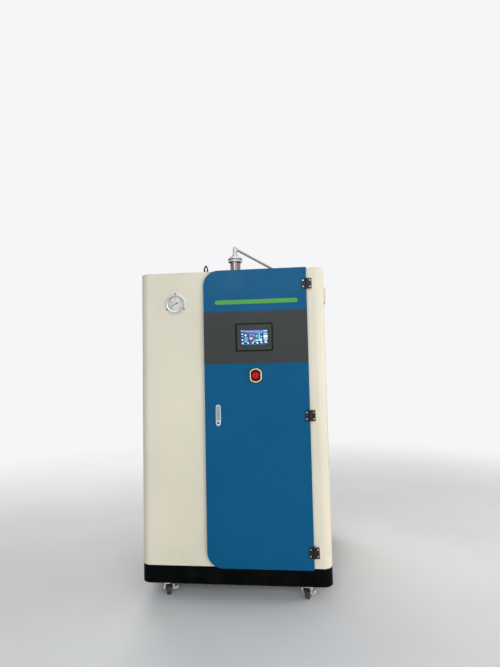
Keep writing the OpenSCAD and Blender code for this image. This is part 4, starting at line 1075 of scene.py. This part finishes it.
# ---------------------------------------------------------------- rear panel's screws

SIDE_SCREW_X = 438
SIDE_SCREW_Z = range(250, 1811, 195)
EDGE_SCREW_X = (-220, 0, 220)
EDGE_SCREW_Z = (212, 1850)

bm = bmesh.new()
panel_screw = cross_screw(4.6, 2.4)
spots = [(x, z) for x in (-SIDE_SCREW_X, SIDE_SCREW_X) for z in SIDE_SCREW_Z]
spots += [(x, z) for x in EDGE_SCREW_X for z in EDGE_SCREW_Z]
for x, z in spots:
    stamp(bm, panel_screw, at(x, BACK_Y, z) @ BACK @ any_turn())
put("rear_screws", bm, "root", [zinc_dull, recess_shade])

# ---------------------------------------------------------------- casters

# The wheel's middle from the swivel's, its radii, and half the room between the fork's cheeks
TRAIL = 24
WHEEL_R = 37.5
CORE_R = 29.3
CHEEK_HALF = 19.5
# Bolts of the plate from the swivel's middle, and the fork's nuts in its own axes
PLATE_Z = 97
PLATE_BOLT = (37, 25)
AXLE_END = 25
PEDAL_PIN = (-14, -28.5, 66)


def axle_way(degrees):
    """The axle's direction for a turn of the fork."""
    c, s = polar(1, degrees)
    return Vector((-s, c, 0))


def wheel_pick(name):
    """Tyre, or the core inside it."""
    x, y, degrees = CORNERS[name]
    axle = axle_way(degrees)
    hub = Vector((*polar(TRAIL, degrees, (x, y)), WHEEL_R)) * MM

    def pick(face):
        d = face.calc_center_median() - hub
        return 0 if (d - axle * d.dot(axle)).length > CORE_R * MM else 1

    return pick


def cam_pick(name):
    """The brake cam between the cheeks, darkened as painted shade, or the plated lever outside
    them.
    """
    x, y, degrees = CORNERS[name]
    axle = axle_way(degrees)
    middle = Vector((x, y, 0)) * MM

    def pick(face):
        along = (face.calc_center_median() - middle).dot(axle)
        return 1 if abs(along) < CHEEK_HALF * MM else 0

    return pick


soften("caster_plates", 0.5, caster_plate)
plate_bolt = hex_head(13, 4.2)
nut = hex_head(13, 4.5)
small_nut = hex_head(8, 1.5)
bm = bmesh.new()
for name, (x, y, turn_deg) in CORNERS.items():
    soften(name + "_fork", 0.5, caster_plate)
    soften(name + "_wheel", 0.6, [tyre, core], pick=wheel_pick(name))
    soften(name + "_pedal", 0.6, [caster_plate, cam_painted_shade], pick=cam_pick(name))
    for dx in (-PLATE_BOLT[0], PLATE_BOLT[0]):
        for dy in (-PLATE_BOLT[1], PLATE_BOLT[1]):
            stamp(bm, plate_bolt, at(x + dx, y + dy, PLATE_Z) @ DOWN)
    own = bmesh.new()
    place = at(x, y, 0) @ spin_z(turn_deg)
    stamp(own, nut, place @ at(TRAIL, -AXLE_END, WHEEL_R) @ FRONT)
    stamp(own, nut, place @ at(TRAIL, AXLE_END, WHEEL_R) @ BACK)
    stamp(own, small_nut, place @ at(*PEDAL_PIN) @ FRONT)
    put(name + "_nuts", own, name + "_swivel", zinc_dull)
put("caster_bolts", bm, "root", zinc_dull)

# ---------------------------------------------------------------- floor, world and lamps

BACKDROP = 0.93
BACKDROP_COLOR = (0.985, 0.99, 1.0, 1)
SOFT_COLOR = (0.97, 0.985, 1.0, 1)
WARM = (1, 0.985, 0.965)
FLOOR_R = 40
FADE_FROM = 1.6
FADE_TO = 5.2

bm = bmesh.new()
bmesh.ops.create_circle(bm, cap_ends=True, segments=96, radius=FLOOR_R)
floor_mesh = bpy.data.meshes.new("floor")
bm.to_mesh(floor_mesh)
bm.free()
floor = bpy.data.objects.new("floor", floor_mesh)
bpy.context.scene.collection.objects.link(floor)
floor_paint = Paint("floor_pale", rough=0.65, specular=0.2)
tone = floor_paint.span(floor_paint.noise(1.2, 4), 0.3, 0.7)
floor_paint.set("Base Color", floor_paint.mix(tone, (0.78, 0.775, 0.765), (0.82, 0.815, 0.805)))
# Far from the object the floor fades into the plain backdrop, where the camera sees it
backdrop = floor_paint.add("ShaderNodeEmission")
backdrop.inputs["Color"].default_value = BACKDROP_COLOR
backdrop.inputs["Strength"].default_value = BACKDROP
away = floor_paint.add("ShaderNodeVectorMath", operation="LENGTH")
floor_paint.put(away.inputs[0], floor_paint.coord)
by_camera = floor_paint.add("ShaderNodeLightPath").outputs["Is Camera Ray"]
fade = floor_paint.span(away.outputs["Value"], FADE_FROM, FADE_TO)
blend = floor_paint.add("ShaderNodeMixShader")
floor_paint.put(blend.inputs[0], floor_paint.math("MULTIPLY", by_camera, fade))
floor_paint.put(blend.inputs[1], floor_paint.shader.outputs[0])
floor_paint.put(blend.inputs[2], backdrop.outputs[0])
floor_out = next(n for n in floor_paint.tree.nodes if n.type == "OUTPUT_MATERIAL")
floor_paint.put(floor_out.inputs[0], blend.outputs[0])
floor_mesh.materials.append(floor_paint.material)

world = bpy.data.worlds.new("studio")
bpy.context.scene.world = world
world.use_nodes = True
tree = world.node_tree
tree.nodes.clear()


def w_node(kind, *sources, **props):
    """A node of the world, with its first inputs linked."""
    node = tree.nodes.new(kind)
    for key, value in props.items():
        setattr(node, key, value)
    for socket, source in zip(node.inputs, sources):
        tree.links.new(source, socket)
    return node


def w_max(a, b):
    return w_node("ShaderNodeMath", a, b, operation="MAXIMUM").outputs[0]


def w_fade(axis, low, high, start, end):
    """Smooth change of the backdrop's level along one direction."""
    way = directions.outputs[axis]
    node = w_node("ShaderNodeMapRange", way, interpolation_type="SMOOTHSTEP")
    for i, value in enumerate((low, high, start, end)):
        node.inputs[i + 1].default_value = value
    return node.outputs[0]


def w_background(color, strength):
    node = w_node("ShaderNodeBackground")
    node.inputs["Color"].default_value = color
    tree.links.new(strength, node.inputs["Strength"])
    return node.outputs[0]


rays = w_node("ShaderNodeLightPath").outputs
generated = w_node("ShaderNodeTexCoord").outputs["Generated"]
directions = w_node("ShaderNodeSeparateXYZ", generated)
# Seen by the camera the backdrop is plain; reflected, it is dimmer low down on the camera's side
plain = w_node("ShaderNodeMath", rays["Is Camera Ray"], operation="MULTIPLY")
plain.inputs[1].default_value = BACKDROP
level = w_max(w_fade("Z", 0.06, 0.34, 0.2, BACKDROP), w_fade("Y", -0.35, 0.1, 0.0, BACKDROP))
shown = w_background(BACKDROP_COLOR, w_max(plain.outputs[0], level))
soft = w_background(SOFT_COLOR, w_fade("X", -0.9, 0.5, 0.16, 0.56))
is_shown = w_max(
    w_max(rays["Is Camera Ray"], rays["Is Glossy Ray"]), rays["Is Transmission Ray"]
)
both = w_node("ShaderNodeMixShader", is_shown, soft, shown)
w_node("ShaderNodeOutputWorld", both.outputs[0])


def lamp(name, place, aim, size, power, color=(1, 1, 1), mirrored=True):
    """A soft square lamp at `place` that faces `aim`; mirrored says whether gloss shows it."""
    data = bpy.data.lights.new(name, "AREA")
    data.shape = "SQUARE"
    data.size = size
    data.energy = power
    data.color = color
    obj = bpy.data.objects.new(name, data)
    bpy.context.scene.collection.objects.link(obj)
    obj.location = place
    obj.visible_camera = False
    obj.visible_glossy = mirrored
    obj.rotation_euler = (Vector(aim) - Vector(place)).to_track_quat("-Z", "Y").to_euler()


lamp("key", (2.95, -4.65, 1.5), (0, 0, 0.6), 2.4, 84, WARM)
lamp("low", (-0.3, -3.0, 0.85), (-0.3, 0, 0.0), 0.8, 4.5, WARM, mirrored=False)
lamp("sky", (-0.45, -7.0, 3.5), (0, 0, 1.6), 2.0, 118, (0.66, 0.82, 1))
lamp("side", (3.6, -0.3, 1.3), (0.5, -0.2, 1.0), 1.6, 28, (1, 0.97, 1))
lamp("rear", (-2.0, 3.7, 3.0), (0, 0, 1.0), 3.0, 88)
